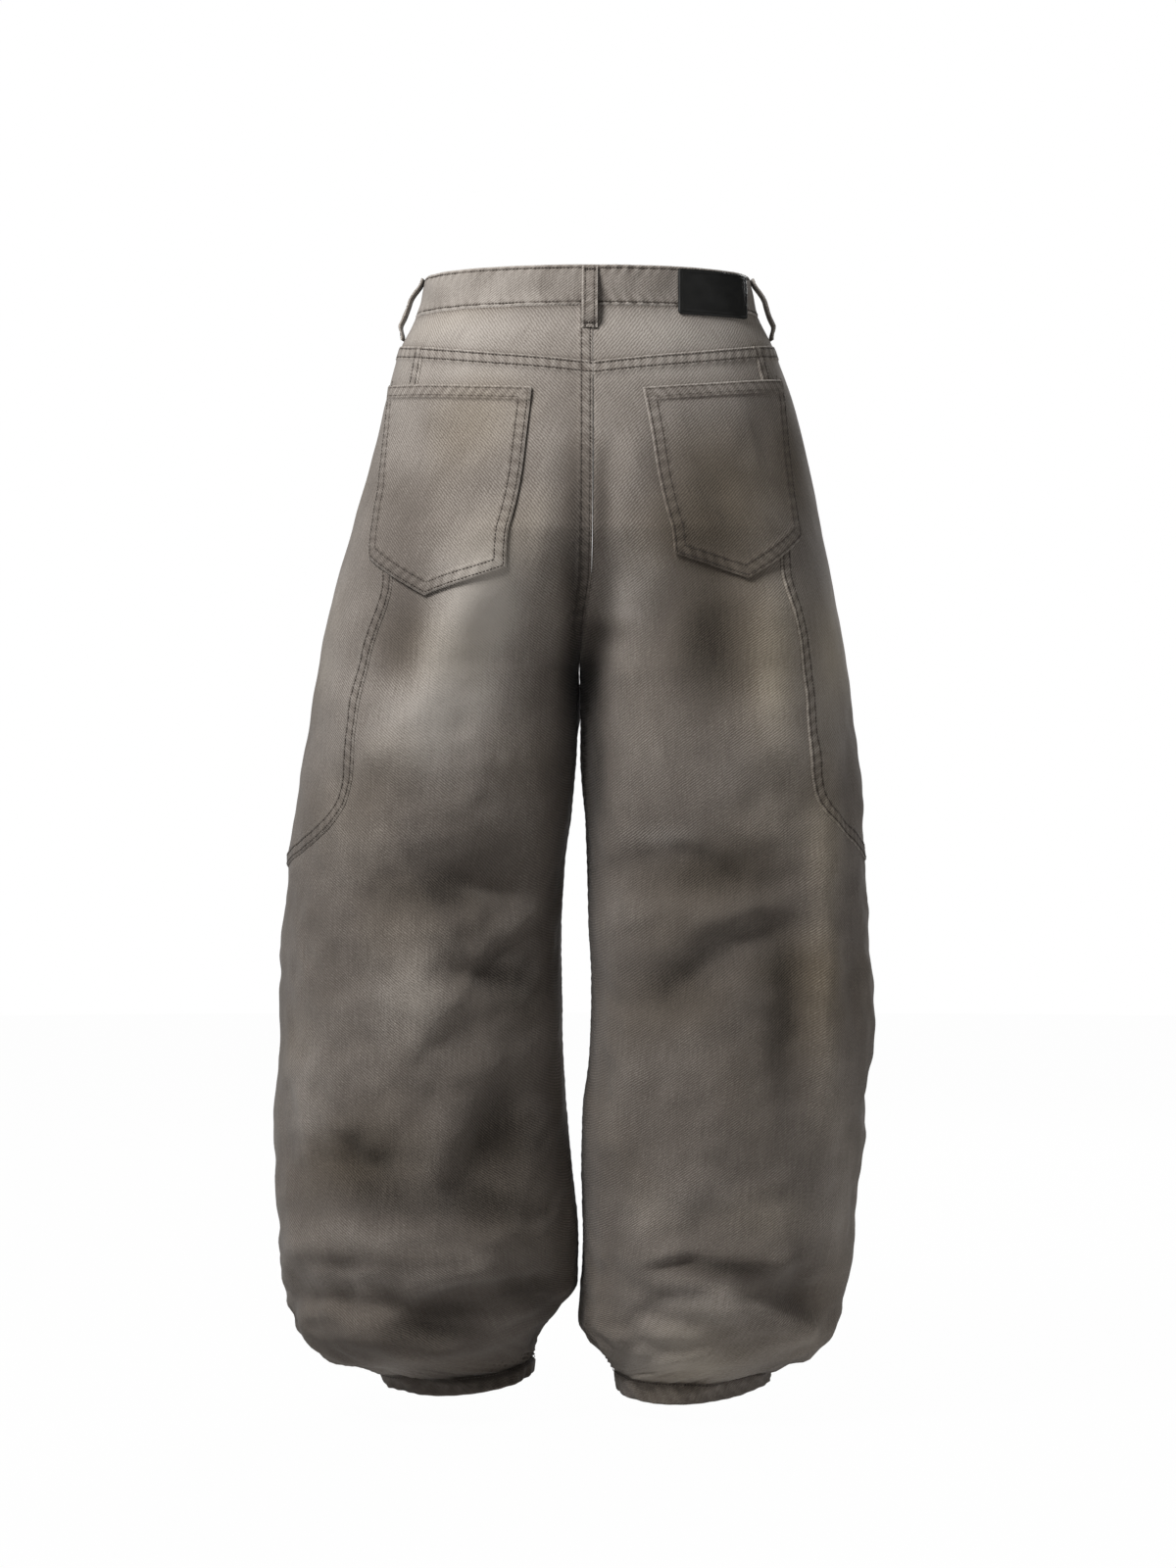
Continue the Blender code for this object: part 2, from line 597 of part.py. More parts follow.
def build_waistband():
    """One strip all round, whose left end laps over the right one at the front."""
    outside, inside = [], []
    for level in spread(BAND_TOP, BAND_BOTTOM, 3):
        outer_row, inner_row = [], []
        for way in spread(OVER_END, UNDER_END, BAND_COLUMNS):
            under = smooth_step((UNDER_START - way) / (UNDER_START - UNDER_FULL))
            inset = (BAND_CLOTH + SEAM_GAP + 0.0003) * under
            place = band_place(way, level)
            outer_row.append(lifted(*place, -inset))
            inner_row.append(lifted(*place, -inset - BAND_CLOTH))
        outside.append(outer_row)
        inside.append(inner_row)
    return wall("waistband", outside, inside, DENIM_DARK)


def build_pocket(pocket):
    """A patch pocket: straight mouth and sides, and a pointed foot."""
    side = pocket.side
    corners = [(share_at(side, BACK, level, x), level) for x, level in pocket[1:]]
    top_in, top_out, low_in, tip, low_out = [Vector(corner) for corner in corners]
    tip_share = (tip.x - low_in.x) / (low_out.x - low_in.x)
    tip_drop = tip.y - (low_in.y + (low_out.y - low_in.y) * tip_share)
    across = spread(0.0, tip_share, 6) + spread(tip_share, 1.0, 5)[1:]
    rows = []
    for down in spread(0.0, 1.0, 12):
        row = []
        for u in across:
            tent = u / tip_share if u < tip_share else (1.0 - u) / (1.0 - tip_share)
            top = top_in.lerp(top_out, u)
            low = low_in.lerp(low_out, u) + Vector((0.0, tip_drop * tent))
            spot = top.lerp(low, down)
            row.append((side, spot.x, spot.y))
        rows.append(row)
    carriers = ["back_" + SIDE_NAMES[side], "side_panel_" + SIDE_NAMES[side]]
    return laid_wall("back_pocket_" + SIDE_NAMES[side], rows, DENIM, POCKET_CLOTH, carriers, ON_SEAT)


def loop_height(down, bulge):
    """Clear height under a belt loop, from its top end (0) to its bottom end (1)."""
    rise = smooth_step(down / 0.42)
    fall = smooth_step((1.0 - down) / 0.22)
    return LOOP_SEAT + (bulge - LOOP_SEAT) * rise * fall


def build_loop(loop):
    """A flat strip that stands off the band between its two sewn ends."""
    outside, inside = [], []
    for level in spread(LOOP_TOP, LOOP_BOTTOM, 12):
        down = (LOOP_TOP - level) / (LOOP_TOP - LOOP_BOTTOM)
        spot = cloth_place(loop.side, loop.share, level)
        normal = outward(cloth_place, loop.side, loop.share, -0.010)
        across = Vector((0.0, 0.0, 1.0)).cross(normal).normalized() * LOOP_WIDTH / 2.0
        height = loop_height(down, loop.bulge)
        inside.append([spot + normal * height + across * u for u in (-1.0, 0.0, 1.0)])
        outside.append([spot + normal * (height + LOOP_CLOTH) + across * u for u in (-1.0, 0.0, 1.0)])
    return wall(loop.name, outside, inside, DENIM_DARK)


def build_patch():
    """The leather patch on the right back of the band, left bare."""
    rows = []
    for level in spread(PATCH_TOP, PATCH_BOTTOM, 4):
        inner = share_at(RIGHT, BACK, level, PATCH_IN)
        outer = share_at(RIGHT, BACK, level, PATCH_OUT)
        rows.append(grid_row(RIGHT, inner, outer, level, 8))
    return laid_wall("patch", rows, BLACK_LEATHER, LEATHER, ["waistband", "yoke_right"])


def front_place(x, level):
    """The place on the front whose distance towards the wearer's left is x."""
    side = LEFT if x > seam_line(level) else RIGHT
    return side, share_at(side, FRONT, level, side * x), level


def build_fly():
    """The fly flap on the left front, with a curved foot."""
    rows = []
    for level in spread(FLY_TOP, FLY_CURVE, 6) + spread(FLY_CURVE, FLY_BOTTOM, 6)[1:]:
        down = clamp((FLY_CURVE - level) / (FLY_CURVE - FLY_BOTTOM))
        width = FLY_WIDTH * math.sqrt(1.0 - (0.98 * down) ** 2)
        rows.append([front_place(FLY_EDGE + width * u, level) for u in spread(0.0, 1.0, 5)])
    return laid_wall("fly_flap", rows, DENIM, POCKET_CLOTH, ["front_left", "front_right"])


def build_button():
    """A shank button's head, standing on the band's upper end."""
    side, share, level = front_place(BUTTON_X, BUTTON_LEVEL)
    normal = outward(cloth_place, side, share, level)
    mesh = bmesh.new()
    profile = [(0.0, 0.0), (0.62, 0.0), (0.66, 0.30), (0.95, 0.34), (1.0, 0.55), (0.94, 0.86), (0.80, 1.0), (0.0, 0.92)]
    points = [mesh.verts.new((r * BUTTON_RADIUS, 0.0, h * BUTTON_HEIGHT)) for r, h in profile]
    edges = [mesh.edges.new(pair) for pair in zip(points, points[1:])]
    bmesh.ops.spin(
        mesh, geom=points + edges, cent=(0, 0, 0), axis=(0, 0, 1), angle=math.tau, steps=28, use_merge=True
    )
    bmesh.ops.remove_doubles(mesh, verts=mesh.verts[:], dist=0.00001)
    bmesh.ops.recalc_face_normals(mesh, faces=mesh.faces[:])
    data = bpy.data.meshes.new("button")
    mesh.to_mesh(data)
    mesh.free()
    button = new_object("button", data, METAL)
    spot = cloth_place(side, share, level) + normal * (SEAM_GAP + 0.0002)
    button.matrix_world = Matrix.Translation(spot) @ normal.to_track_quat("Z", "Y").to_matrix().to_4x4()
    return button


def build_jeans():
    clear_scene()
    build_waistband()
    for side in (LEFT, RIGHT):
        build_yoke(side)
        build_back(side)
        build_side_panel(side)
        build_front(side)
    for pocket in POCKETS:
        build_pocket(pocket)
    for loop in LOOPS:
        build_loop(loop)
    build_patch()
    build_fly()
    build_button()
    bpy.context.view_layer.update()


build_jeans()
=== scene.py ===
"""Looks of wide, washed barrel-leg jeans, filled out as if worn and seen from behind.

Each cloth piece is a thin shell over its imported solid, on the same surface as the
part's source. A place on the cloth is a side of the body, a share of the way round
(-1 at the inner back edge, 0 at the outer side, 1 at the inner front edge) and a level,
which is the height of the section that it lies on. Metres, +Z up, back towards +Y.
"""

import math
from collections import namedtuple

import bmesh
import bpy
import numpy as np
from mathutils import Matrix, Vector


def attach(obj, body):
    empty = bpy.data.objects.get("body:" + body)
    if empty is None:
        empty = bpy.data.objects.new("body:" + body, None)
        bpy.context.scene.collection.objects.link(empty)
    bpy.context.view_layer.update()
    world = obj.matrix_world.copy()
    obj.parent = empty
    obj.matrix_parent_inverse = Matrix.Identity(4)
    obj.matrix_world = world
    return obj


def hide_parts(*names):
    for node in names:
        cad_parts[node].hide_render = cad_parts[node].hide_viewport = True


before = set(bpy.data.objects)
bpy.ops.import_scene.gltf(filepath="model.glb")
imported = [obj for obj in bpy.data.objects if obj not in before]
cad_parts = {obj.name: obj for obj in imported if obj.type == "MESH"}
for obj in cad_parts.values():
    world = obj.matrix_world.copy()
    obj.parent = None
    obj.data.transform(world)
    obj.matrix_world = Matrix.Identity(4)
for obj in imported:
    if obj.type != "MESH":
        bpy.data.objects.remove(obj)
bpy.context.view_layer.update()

LEFT, RIGHT = 1, -1
SIDE_NAMES = {LEFT: "left", RIGHT: "right"}
BACK, FRONT = 1, -1

CLOTH = 0.0016
HEM_CLOTH = 0.0028
BAND_CLOTH = 0.0030
POCKET_CLOTH = 0.0014
LOOP_CLOTH = 0.0022
LEATHER = 0.0016
SEAM_GAP = 0.0003

BAND_TOP, BAND_BOTTOM = 0.018, -0.018
SEAT_TOP, CROTCH = -0.100, -0.335
THIGH_TOP, THIGH_FULL = -0.115, -0.405
SIDE_PANEL_BOTTOM = -0.511
RIGHT_PANEL_RAISE = 0.006
FRONT_EDGE_SHARE = 0.62
HEM_LEVELS = {LEFT: (-0.954, -0.966), RIGHT: (-0.958, -0.973)}

CAMERA_AWAY, CAMERA_LEVEL = 4.0, -0.436
PIXEL = 0.00088
PHOTO_WIDE, PHOTO_HIGH = 1200, 1600

Section = namedtuple("Section", "level outer inner back front lean dip", defaults=(0.0, 0.0))
SECTIONS = {
    LEFT: [
        Section(0.030, 0.1430, 0.0000, 0.1090, 0.1080),
        Section(0.018, 0.1450, 0.0000, 0.1100, 0.1090),
        Section(-0.018, 0.1540, 0.0000, 0.1140, 0.1130),
        Section(-0.044, 0.1670, 0.0000, 0.1220, 0.1190),
        Section(-0.097, 0.1815, 0.0000, 0.1360, 0.1240),
        Section(-0.150, 0.1955, 0.0000, 0.1460, 0.1260),
        Section(-0.203, 0.2100, 0.0000, 0.1500, 0.1270),
        Section(-0.256, 0.2250, 0.0020, 0.1480, 0.1270),
        Section(-0.308, 0.2370, 0.0060, 0.1410, 0.1270),
        Section(-0.335, 0.2415, 0.0080, 0.1370, 0.1265),
        Section(-0.361, 0.2470, 0.0086, 0.1340, 0.1265),
        Section(-0.414, 0.2550, 0.0106, 0.1300, 0.1275),
        Section(-0.467, 0.2625, 0.0158, 0.1265, 0.1295),
        Section(-0.520, 0.2695, 0.0220, 0.1240, 0.1325),
        Section(-0.572, 0.2745, 0.0238, 0.1220, 0.1355),
        Section(-0.625, 0.2765, 0.0232, 0.1215, 0.1375),
        Section(-0.678, 0.2775, 0.0225, 0.1220, 0.1380),
        Section(-0.731, 0.2800, 0.0188, 0.1230, 0.1370),
        Section(-0.784, 0.2805, 0.0141, 0.1230, 0.1340),
        Section(-0.836, 0.2785, 0.0085, 0.1215, 0.1300),
        Section(-0.885, 0.2725, 0.0095, 0.1170, 0.1240, -0.006, -0.002),
        Section(-0.908, 0.2645, 0.0235, 0.1110, 0.1170, -0.014, -0.004),
        Section(-0.9255, 0.2585, 0.0370, 0.1010, 0.1070, -0.012, -0.008),
        Section(-0.9395, 0.2390, 0.0465, 0.0880, 0.0960, -0.009, -0.012),
        Section(-0.9500, 0.2060, 0.0485, 0.0740, 0.0840, -0.009, -0.016),
        Section(-0.954, 0.1920, 0.0485, 0.0700, 0.0790, -0.009, -0.018),
        Section(-0.966, 0.1780, 0.0500, 0.0680, 0.0770, -0.009, -0.020),
    ],
    RIGHT: [
        Section(0.030, 0.1430, 0.0000, 0.1090, 0.1080),
        Section(0.018, 0.1450, 0.0000, 0.1100, 0.1090),
        Section(-0.018, 0.1530, 0.0000, 0.1140, 0.1130),
        Section(-0.044, 0.1655, 0.0000, 0.1220, 0.1190),
        Section(-0.097, 0.1845, 0.0000, 0.1360, 0.1240),
        Section(-0.150, 0.1970, 0.0000, 0.1460, 0.1260),
        Section(-0.203, 0.2080, 0.0000, 0.1500, 0.1270),
        Section(-0.256, 0.2185, -0.0020, 0.1480, 0.1270),
        Section(-0.308, 0.2285, -0.0060, 0.1410, 0.1270),
        Section(-0.335, 0.2320, -0.0076, 0.1370, 0.1265),
        Section(-0.361, 0.2360, -0.0070, 0.1340, 0.1265),
        Section(-0.414, 0.2415, -0.0068, 0.1300, 0.1275),
        Section(-0.467, 0.2465, -0.0028, 0.1265, 0.1295),
        Section(-0.520, 0.2500, -0.0008, 0.1240, 0.1325),
        Section(-0.572, 0.2525, 0.0010, 0.1225, 0.1355),
        Section(-0.625, 0.2560, 0.0030, 0.1220, 0.1375),
        Section(-0.678, 0.2540, 0.0015, 0.1225, 0.1380),
        Section(-0.731, 0.2480, -0.0050, 0.1235, 0.1370),
        Section(-0.784, 0.2435, -0.0060, 0.1240, 0.1340),
        Section(-0.836, 0.2385, -0.0044, 0.1225, 0.1300),
        Section(-0.889, 0.2315, -0.0070, 0.1185, 0.1240, 0.000, -0.002),
        Section(-0.916, 0.2235, -0.0088, 0.1120, 0.1160, 0.000, -0.004),
        Section(-0.931, 0.2160, 0.0000, 0.1030, 0.1070, 0.000, -0.008),
        Section(-0.943, 0.2040, 0.0115, 0.0910, 0.0960, 0.003, -0.012),
        Section(-0.953, 0.1760, 0.0200, 0.0780, 0.0850, 0.005, -0.016),
        Section(-0.958, 0.1690, 0.0230, 0.0740, 0.0800, 0.007, -0.018),
        Section(-0.973, 0.1640, 0.0260, 0.0710, 0.0780, 0.010, -0.020),
    ],
}

Mid = namedtuple("Mid", "level x")
MIDDLE = [
    Mid(0.030, -0.0045),
    Mid(-0.250, -0.0045),
    Mid(-0.293, 0.0018),
    Mid(-0.308, 0.0042),
    Mid(-0.335, 0.0078),
    Mid(-0.361, 0.0078),
]

YokeSeam = namedtuple("YokeSeam", "share level")
YOKE_SEAM = [
    YokeSeam(-1.00, -0.0680),
    YokeSeam(-0.75, -0.0605),
    YokeSeam(-0.50, -0.0535),
    YokeSeam(-0.25, -0.0475),
    YokeSeam(0.00, -0.0435),
    YokeSeam(0.40, -0.0410),
]
YOKE_SEAM_MEAN = -0.055
YOKE_SLOPE_END, YOKE_SLOPE_FADE = -0.170, 0.110

PanelEdge = namedtuple("PanelEdge", "level share")
SIDE_PANEL_EDGE = [
    PanelEdge(0.000, -0.335),
    PanelEdge(-0.043, -0.340),
    PanelEdge(-0.090, -0.358),
    PanelEdge(-0.170, -0.374),
    PanelEdge(-0.250, -0.374),
    PanelEdge(-0.323, -0.315),
    PanelEdge(-0.365, -0.302),
    PanelEdge(-0.415, -0.304),
    PanelEdge(-0.450, -0.294),
    PanelEdge(-0.467, -0.272),
    PanelEdge(-0.481, -0.226),
    PanelEdge(-0.494, -0.158),
    PanelEdge(-0.503, -0.098),
    PanelEdge(-0.509, -0.040),
    PanelEdge(-0.511, -0.010),
]

# Folds that the solids have too: x1, z1, x2, z2, width and depth in metres, x outwards.
FOLDS = {
    (LEFT, BACK): [
        (0.162, -0.285, 0.158, -0.325, 0.040, -0.008),
        (0.112, -0.265, 0.172, -0.400, 0.034, 0.007),
        (0.145, -0.515, 0.072, -0.525, 0.026, -0.010),
        (0.170, -0.540, 0.118, -0.600, 0.022, -0.007),
        (0.040, -0.535, 0.110, -0.600, 0.022, -0.006),
        (0.150, -0.570, 0.145, -0.620, 0.026, 0.006),
        (0.108, -0.790, 0.066, -0.710, 0.026, -0.010),
        (0.235, -0.780, 0.175, -0.775, 0.028, -0.008),
        (0.262, -0.850, 0.100, -0.858, 0.022, 0.008),
        (0.262, -0.890, 0.110, -0.884, 0.018, -0.008),
        (0.150, -0.905, 0.042, -0.886, 0.018, -0.007),
        (0.200, -0.915, 0.120, -0.922, 0.018, 0.006),
    ],
    (RIGHT, BACK): [
        (0.110, -0.265, 0.114, -0.345, 0.036, -0.007),
        (0.165, -0.290, 0.176, -0.400, 0.030, 0.007),
        (0.205, -0.420, 0.215, -0.720, 0.022, 0.006),
        (0.056, -0.500, 0.150, -0.522, 0.026, -0.010),
        (0.155, -0.565, 0.070, -0.615, 0.024, -0.010),
        (0.180, -0.575, 0.182, -0.710, 0.020, -0.007),
        (0.060, -0.862, 0.165, -0.866, 0.022, 0.007),
        (0.150, -0.884, 0.212, -0.890, 0.020, -0.008),
        (0.090, -0.884, 0.190, -0.918, 0.016, 0.005),
    ],
    (LEFT, FRONT): [
        (0.060, -0.300, 0.180, -0.250, 0.026, -0.006),
        (0.190, -0.470, 0.090, -0.500, 0.028, -0.008),
        (0.080, -0.600, 0.200, -0.650, 0.030, 0.007),
        (0.210, -0.760, 0.100, -0.745, 0.026, -0.008),
        (0.250, -0.865, 0.060, -0.852, 0.022, 0.007),
        (0.240, -0.898, 0.070, -0.890, 0.018, -0.007),
    ],
    (RIGHT, FRONT): [
        (0.050, -0.290, 0.165, -0.245, 0.026, -0.006),
        (0.060, -0.480, 0.170, -0.505, 0.028, -0.008),
        (0.180, -0.590, 0.070, -0.640, 0.030, 0.007),
        (0.060, -0.765, 0.180, -0.740, 0.026, -0.008),
        (0.040, -0.855, 0.205, -0.868, 0.022, 0.007),
        (0.050, -0.892, 0.200, -0.902, 0.018, -0.007),
    ],
}

# Folds that only the cloth's look needs: px1, py1, px2, py2, left, right and depth. The ends
# are pixels of the photograph, and left and right are the widths, in metres, on either hand
# of someone going from end 1 to end 2.
CREASES = {
    (LEFT, BACK): [
        (584, 430, 580, 640, 0.007, 0.011, -0.0052),
        (560, 440, 552, 640, 0.014, 0.012, 0.0034),
        (480, 596, 410, 770, 0.026, 0.016, 0.0050),
        (402, 868, 478, 990, 0.007, 0.034, 0.0062),
        (478, 998, 409, 1090, 0.009, 0.042, 0.0056),
        (566, 912, 482, 990, 0.007, 0.016, 0.0052),
        (426, 902, 545, 908, 0.022, 0.007, -0.0062),
        (484, 992, 524, 1004, 0.010, 0.014, -0.0056),
        (516, 1010, 440, 1110, 0.026, 0.018, -0.0020),
        (548, 1010, 540, 1120, 0.016, 0.012, 0.0024),
        (470, 1210, 524, 1120, 0.014, 0.036, -0.0036),
        (446, 1196, 492, 1096, 0.026, 0.014, 0.0024),
        (304, 1090, 311, 1240, 0.007, 0.010, 0.0026),
        (328, 1170, 400, 1206, 0.018, 0.018, -0.0062),
        (288, 1272, 470, 1254, 0.020, 0.012, 0.0052),
        (300, 1296, 484, 1290, 0.008, 0.008, -0.0028),
        (404, 1322, 492, 1300, 0.009, 0.009, 0.0042),
        (470, 1262, 566, 1262, 0.012, 0.012, 0.0036),
        (421, 1337, 474, 1314, 0.005, 0.013, -0.0050),
        (474, 1314, 570, 1308, 0.005, 0.016, -0.0066),
        (388, 1356, 472, 1364, 0.010, 0.008, -0.0054),
        (500, 1352, 552, 1344, 0.007, 0.009, 0.0040),
        (430, 1380, 520, 1378, 0.008, 0.007, 0.0038),
        (326, 1352, 330, 1290, 0.014, 0.014, 0.0036),
    ],
    (RIGHT, BACK): [
        (620, 440, 622, 640, 0.012, 0.016, -0.0022),
        (604, 500, 628, 446, 0.006, 0.008, -0.0026),
        (650, 440, 630, 560, 0.012, 0.012, 0.0026),
        (646, 560, 636, 700, 0.014, 0.012, 0.0032),
        (690, 590, 666, 670, 0.018, 0.014, -0.0036),
        (716, 620, 734, 700, 0.030, 0.026, -0.0030),
        (607, 636, 622, 650, 0.005, 0.007, -0.0026),
        (618, 886, 700, 868, 0.010, 0.012, -0.0040),
        (700, 880, 766, 912, 0.016, 0.012, -0.0046),
        (636, 916, 650, 950, 0.018, 0.018, 0.0040),
        (700, 948, 786, 922, 0.013, 0.009, 0.0040),
        (820, 938, 748, 962, 0.012, 0.009, -0.0046),
        (748, 966, 666, 1026, 0.013, 0.016, -0.0056),
        (760, 1000, 700, 1060, 0.024, 0.022, 0.0042),
        (822, 950, 796, 1120, 0.024, 0.018, -0.0032),
        (836, 830, 842, 1130, 0.012, 0.010, 0.0040),
        (868, 930, 872, 1090, 0.010, 0.012, -0.0026),
        (622, 1000, 640, 1120, 0.016, 0.018, 0.0030),
        (660, 1200, 790, 1240, 0.020, 0.016, 0.0034),
        (658, 1290, 704, 1276, 0.012, 0.005, 0.0040),
        (704, 1276, 812, 1292, 0.014, 0.006, 0.0044),
        (664, 1296, 712, 1286, 0.005, 0.008, -0.0040),
        (746, 1304, 846, 1336, 0.014, 0.012, -0.0058),
        (690, 1300, 768, 1334, 0.006, 0.016, 0.0040),
        (768, 1334, 842, 1362, 0.006, 0.016, 0.0042),
        (681, 1320, 636, 1354, 0.003, 0.004, -0.0013),
        (676, 1320, 690, 1324, 0.003, 0.004, -0.0013),
        (696, 1326, 654, 1362, 0.004, 0.005, 0.0010),
        (640, 1378, 770, 1375, 0.004, 0.006, -0.0016),
        (650, 1392, 756, 1390, 0.006, 0.005, 0.0016),
    ],
    (LEFT, FRONT): [
        (590, 640, 480, 600, 0.012, 0.014, -0.0032),
        (586, 660, 500, 680, 0.012, 0.016, 0.0036),
        (380, 850, 500, 900, 0.008, 0.020, -0.0054),
        (400, 940, 540, 920, 0.022, 0.008, 0.0050),
        (340, 1010, 440, 1060, 0.018, 0.014, -0.0046),
        (460, 1150, 400, 1220, 0.014, 0.016, -0.0046),
        (310, 1290, 520, 1276, 0.016, 0.008, 0.0048),
        (330, 1340, 470, 1350, 0.010, 0.009, -0.0050),
    ],
    (RIGHT, FRONT): [
        (610, 640, 720, 600, 0.014, 0.012, -0.0032),
        (616, 664, 700, 690, 0.016, 0.012, 0.0036),
        (690, 880, 820, 850, 0.020, 0.008, -0.0054),
        (660, 930, 800, 950, 0.008, 0.022, 0.0050),
        (740, 1050, 850, 1010, 0.014, 0.018, -0.0044),
        (660, 1280, 850, 1292, 0.008, 0.016, 0.0048),
        (700, 1340, 820, 1330, 0.010, 0.009, -0.0048),
    ],
}

# Paler (+) and deeper (-) areas: fades of the wash together with painted light and shade, such as
# painted shade in the valley beside the centre seam, in the slit between the legs, under
# overhanging folds and on the hem bands. px, py, width and height in pixels of the photograph,
# amount, and how olive the cast is.
FADES_AND_PAINTED_SHADING = {
    LEFT: [
        (460, 335, 70, 26, 0.17, 0.0),
        (480, 380, 70, 10, 0.10, 0.0),
        (504, 610, 32, 66, 0.40, 0.0),
        (470, 650, 36, 62, 0.30, 0.1),
        (450, 730, 60, 54, 0.36, 0.1),
        (408, 652, 28, 52, -0.22, 0.2),
        (416, 525, 36, 46, -0.18, 0.0),
        # painted shade in the valley left of the centre back seam
        (588, 562, 12, 112, -0.48, 0.0),
        (345, 680, 30, 110, 0.10, 0.0),
        (566, 890, 14, 90, -0.16, 0.0),
        # painted shade under an overhanging fold
        (454, 910, 38, 16, -0.34, 0.1),
        (540, 896, 34, 24, 0.10, 0.0),
        (420, 1024, 60, 50, 0.17, 0.1),
        (520, 1004, 46, 38, -0.30, 0.1),
        (524, 1162, 38, 38, -0.36, 0.2),
        (502, 1236, 40, 28, -0.34, 0.1),
        (360, 1188, 50, 34, -0.14, 0.3),
        (314, 1130, 30, 90, 0.17, 0.0),
        (396, 1228, 80, 22, -0.20, 0.0),
        (400, 1286, 60, 12, -0.12, 0.0),
        (554, 1336, 32, 36, -0.14, 0.0),
        # painted shade in the slit between the legs
        (588, 690, 14, 50, -0.45, 0.0),
        (360, 1308, 80, 18, 0.20, 0.0),
        # painted shade in a hollow above the hem, and on the hem band under the overhang
        (428, 1364, 56, 16, -0.32, 0.0),
        (506, 1408, 44, 14, -0.30, 0.0),
        (402, 1398, 28, 16, 0.26, 0.0),
    ],
    RIGHT: [
        (680, 340, 70, 26, 0.20, 0.0),
        (690, 380, 70, 10, 0.10, 0.0),
        # painted shade in the slit between the legs and beside the centre seam
        (604, 690, 14, 50, -0.45, 0.0),
        (608, 790, 12, 60, -0.34, 0.0),
        (612, 520, 9, 54, -0.26, 0.0),
        (622, 644, 24, 14, -0.22, 0.0),
        (724, 504, 62, 76, -0.26, 0.4),
        (712, 545, 56, 34, -0.16, 0.3),
        (804, 480, 18, 60, -0.16, 0.3),
        (642, 620, 26, 60, 0.14, 0.0),
        (664, 572, 20, 28, 0.10, 0.0),
        (728, 650, 46, 66, -0.34, 0.35),
        (788, 680, 30, 84, 0.26, 0.55),
        (806, 1010, 22, 80, -0.12, 0.3),
        (850, 670, 24, 90, 0.24, 0.5),
        (838, 950, 20, 180, 0.10, 0.7),
        (800, 850, 50, 34, 0.10, 0.1),
        (672, 856, 34, 14, 0.30, 0.0),
        (715, 894, 74, 24, -0.20, 0.2),
        (690, 950, 44, 34, -0.08, 0.2),
        (790, 988, 46, 24, -0.12, 0.3),
        (710, 1018, 54, 30, -0.16, 0.3),
        (858, 1230, 24, 110, 0.20, 0.1),
        (660, 1235, 40, 26, 0.16, 0.1),
        (780, 1240, 60, 26, 0.16, 0.3),
        # painted shade under a crest above the hem
        (742, 1292, 50, 14, -0.34, 0.0),
        (690, 1360, 64, 36, 0.28, 0.4),
        (800, 1372, 50, 22, 0.14, 0.1),
        (700, 1400, 76, 22, 0.42, 0.1),
    ],
}

Pocket = namedtuple("Pocket", "side top_in top_out low_in tip low_out")
POCKETS = [
    Pocket(
        side=LEFT,
        top_in=(0.0485, -0.0914),
        top_out=(0.1745, -0.0814),
        low_in=(0.0713, -0.2475),
        tip=(0.1412, -0.2725),
        low_out=(0.1902, -0.2380),
    ),
    Pocket(
        side=RIGHT,
        top_in=(0.0468, -0.0920),
        top_out=(0.1690, -0.0776),
        low_in=(0.0747, -0.2364),
        tip=(0.1381, -0.2576),
        low_out=(0.1855, -0.2202),
    ),
]
POCKET_FLAT_HEIGHT = 0.16
ON_SEAT = 0.0018
POCKET_LIFT = ON_SEAT + POCKET_CLOTH

Loop = namedtuple("Loop", "name side share bulge")
LOOPS = [
    Loop("loop_back", LEFT, -0.988, 0.0062),
    Loop("loop_side_left", LEFT, 0.000, 0.0086),
    Loop("loop_side_right", RIGHT, 0.000, 0.0086),
    Loop("loop_front_left", LEFT, 0.700, 0.0078),
    Loop("loop_front_right", RIGHT, 0.700, 0.0078),
]
LOOP_WIDTH = 0.0137
LOOP_TOP, LOOP_BOTTOM = 0.0165, -0.0385
LOOP_SEAT = 0.0009
LOOP_TWIST = 0.16
LOOP_ROW = 0.0028

PATCH_TOP, PATCH_BOTTOM = 0.0160, -0.0248
PATCH_IN, PATCH_OUT = 0.0785, 0.1405
PATCH_CORNER = 0.0030

UNDER_END, OVER_END = -2.20, 2.03
UNDER_START, UNDER_FULL = -1.80, -1.93
BAND_PROUD = 0.0005
BAND_ROW = 0.0030

FLY_EDGE, FLY_WIDTH = -0.004, 0.040
FLY_TOP, FLY_CURVE, FLY_BOTTOM = -0.0205, -0.150, -0.196

BUTTON_RADIUS, BUTTON_HEIGHT = 0.0085, 0.0036
BUTTON_X, BUTTON_LEVEL = 0.009, 0.000
HOLE_X, HOLE_LONG, HOLE_HIGH = 0.006, 0.0135, 0.0038
# From the middle of the back, over the rim, to the middle of the dome, as parts of the
# button's radius and height.
BUTTON_PROFILE = [
    (0.0, 0.0),
    (0.60, 0.0),
    (0.62, 0.26),
    (0.66, 0.32),
    (0.93, 0.36),
    (0.98, 0.46),
    (1.0, 0.60),
    (0.97, 0.78),
    (0.90, 0.86),
    (0.82, 0.82),
    (0.78, 0.70),
    (0.70, 0.66),
    (0.62, 0.70),
    (0.40, 0.82),
    (0.0, 0.90),
]

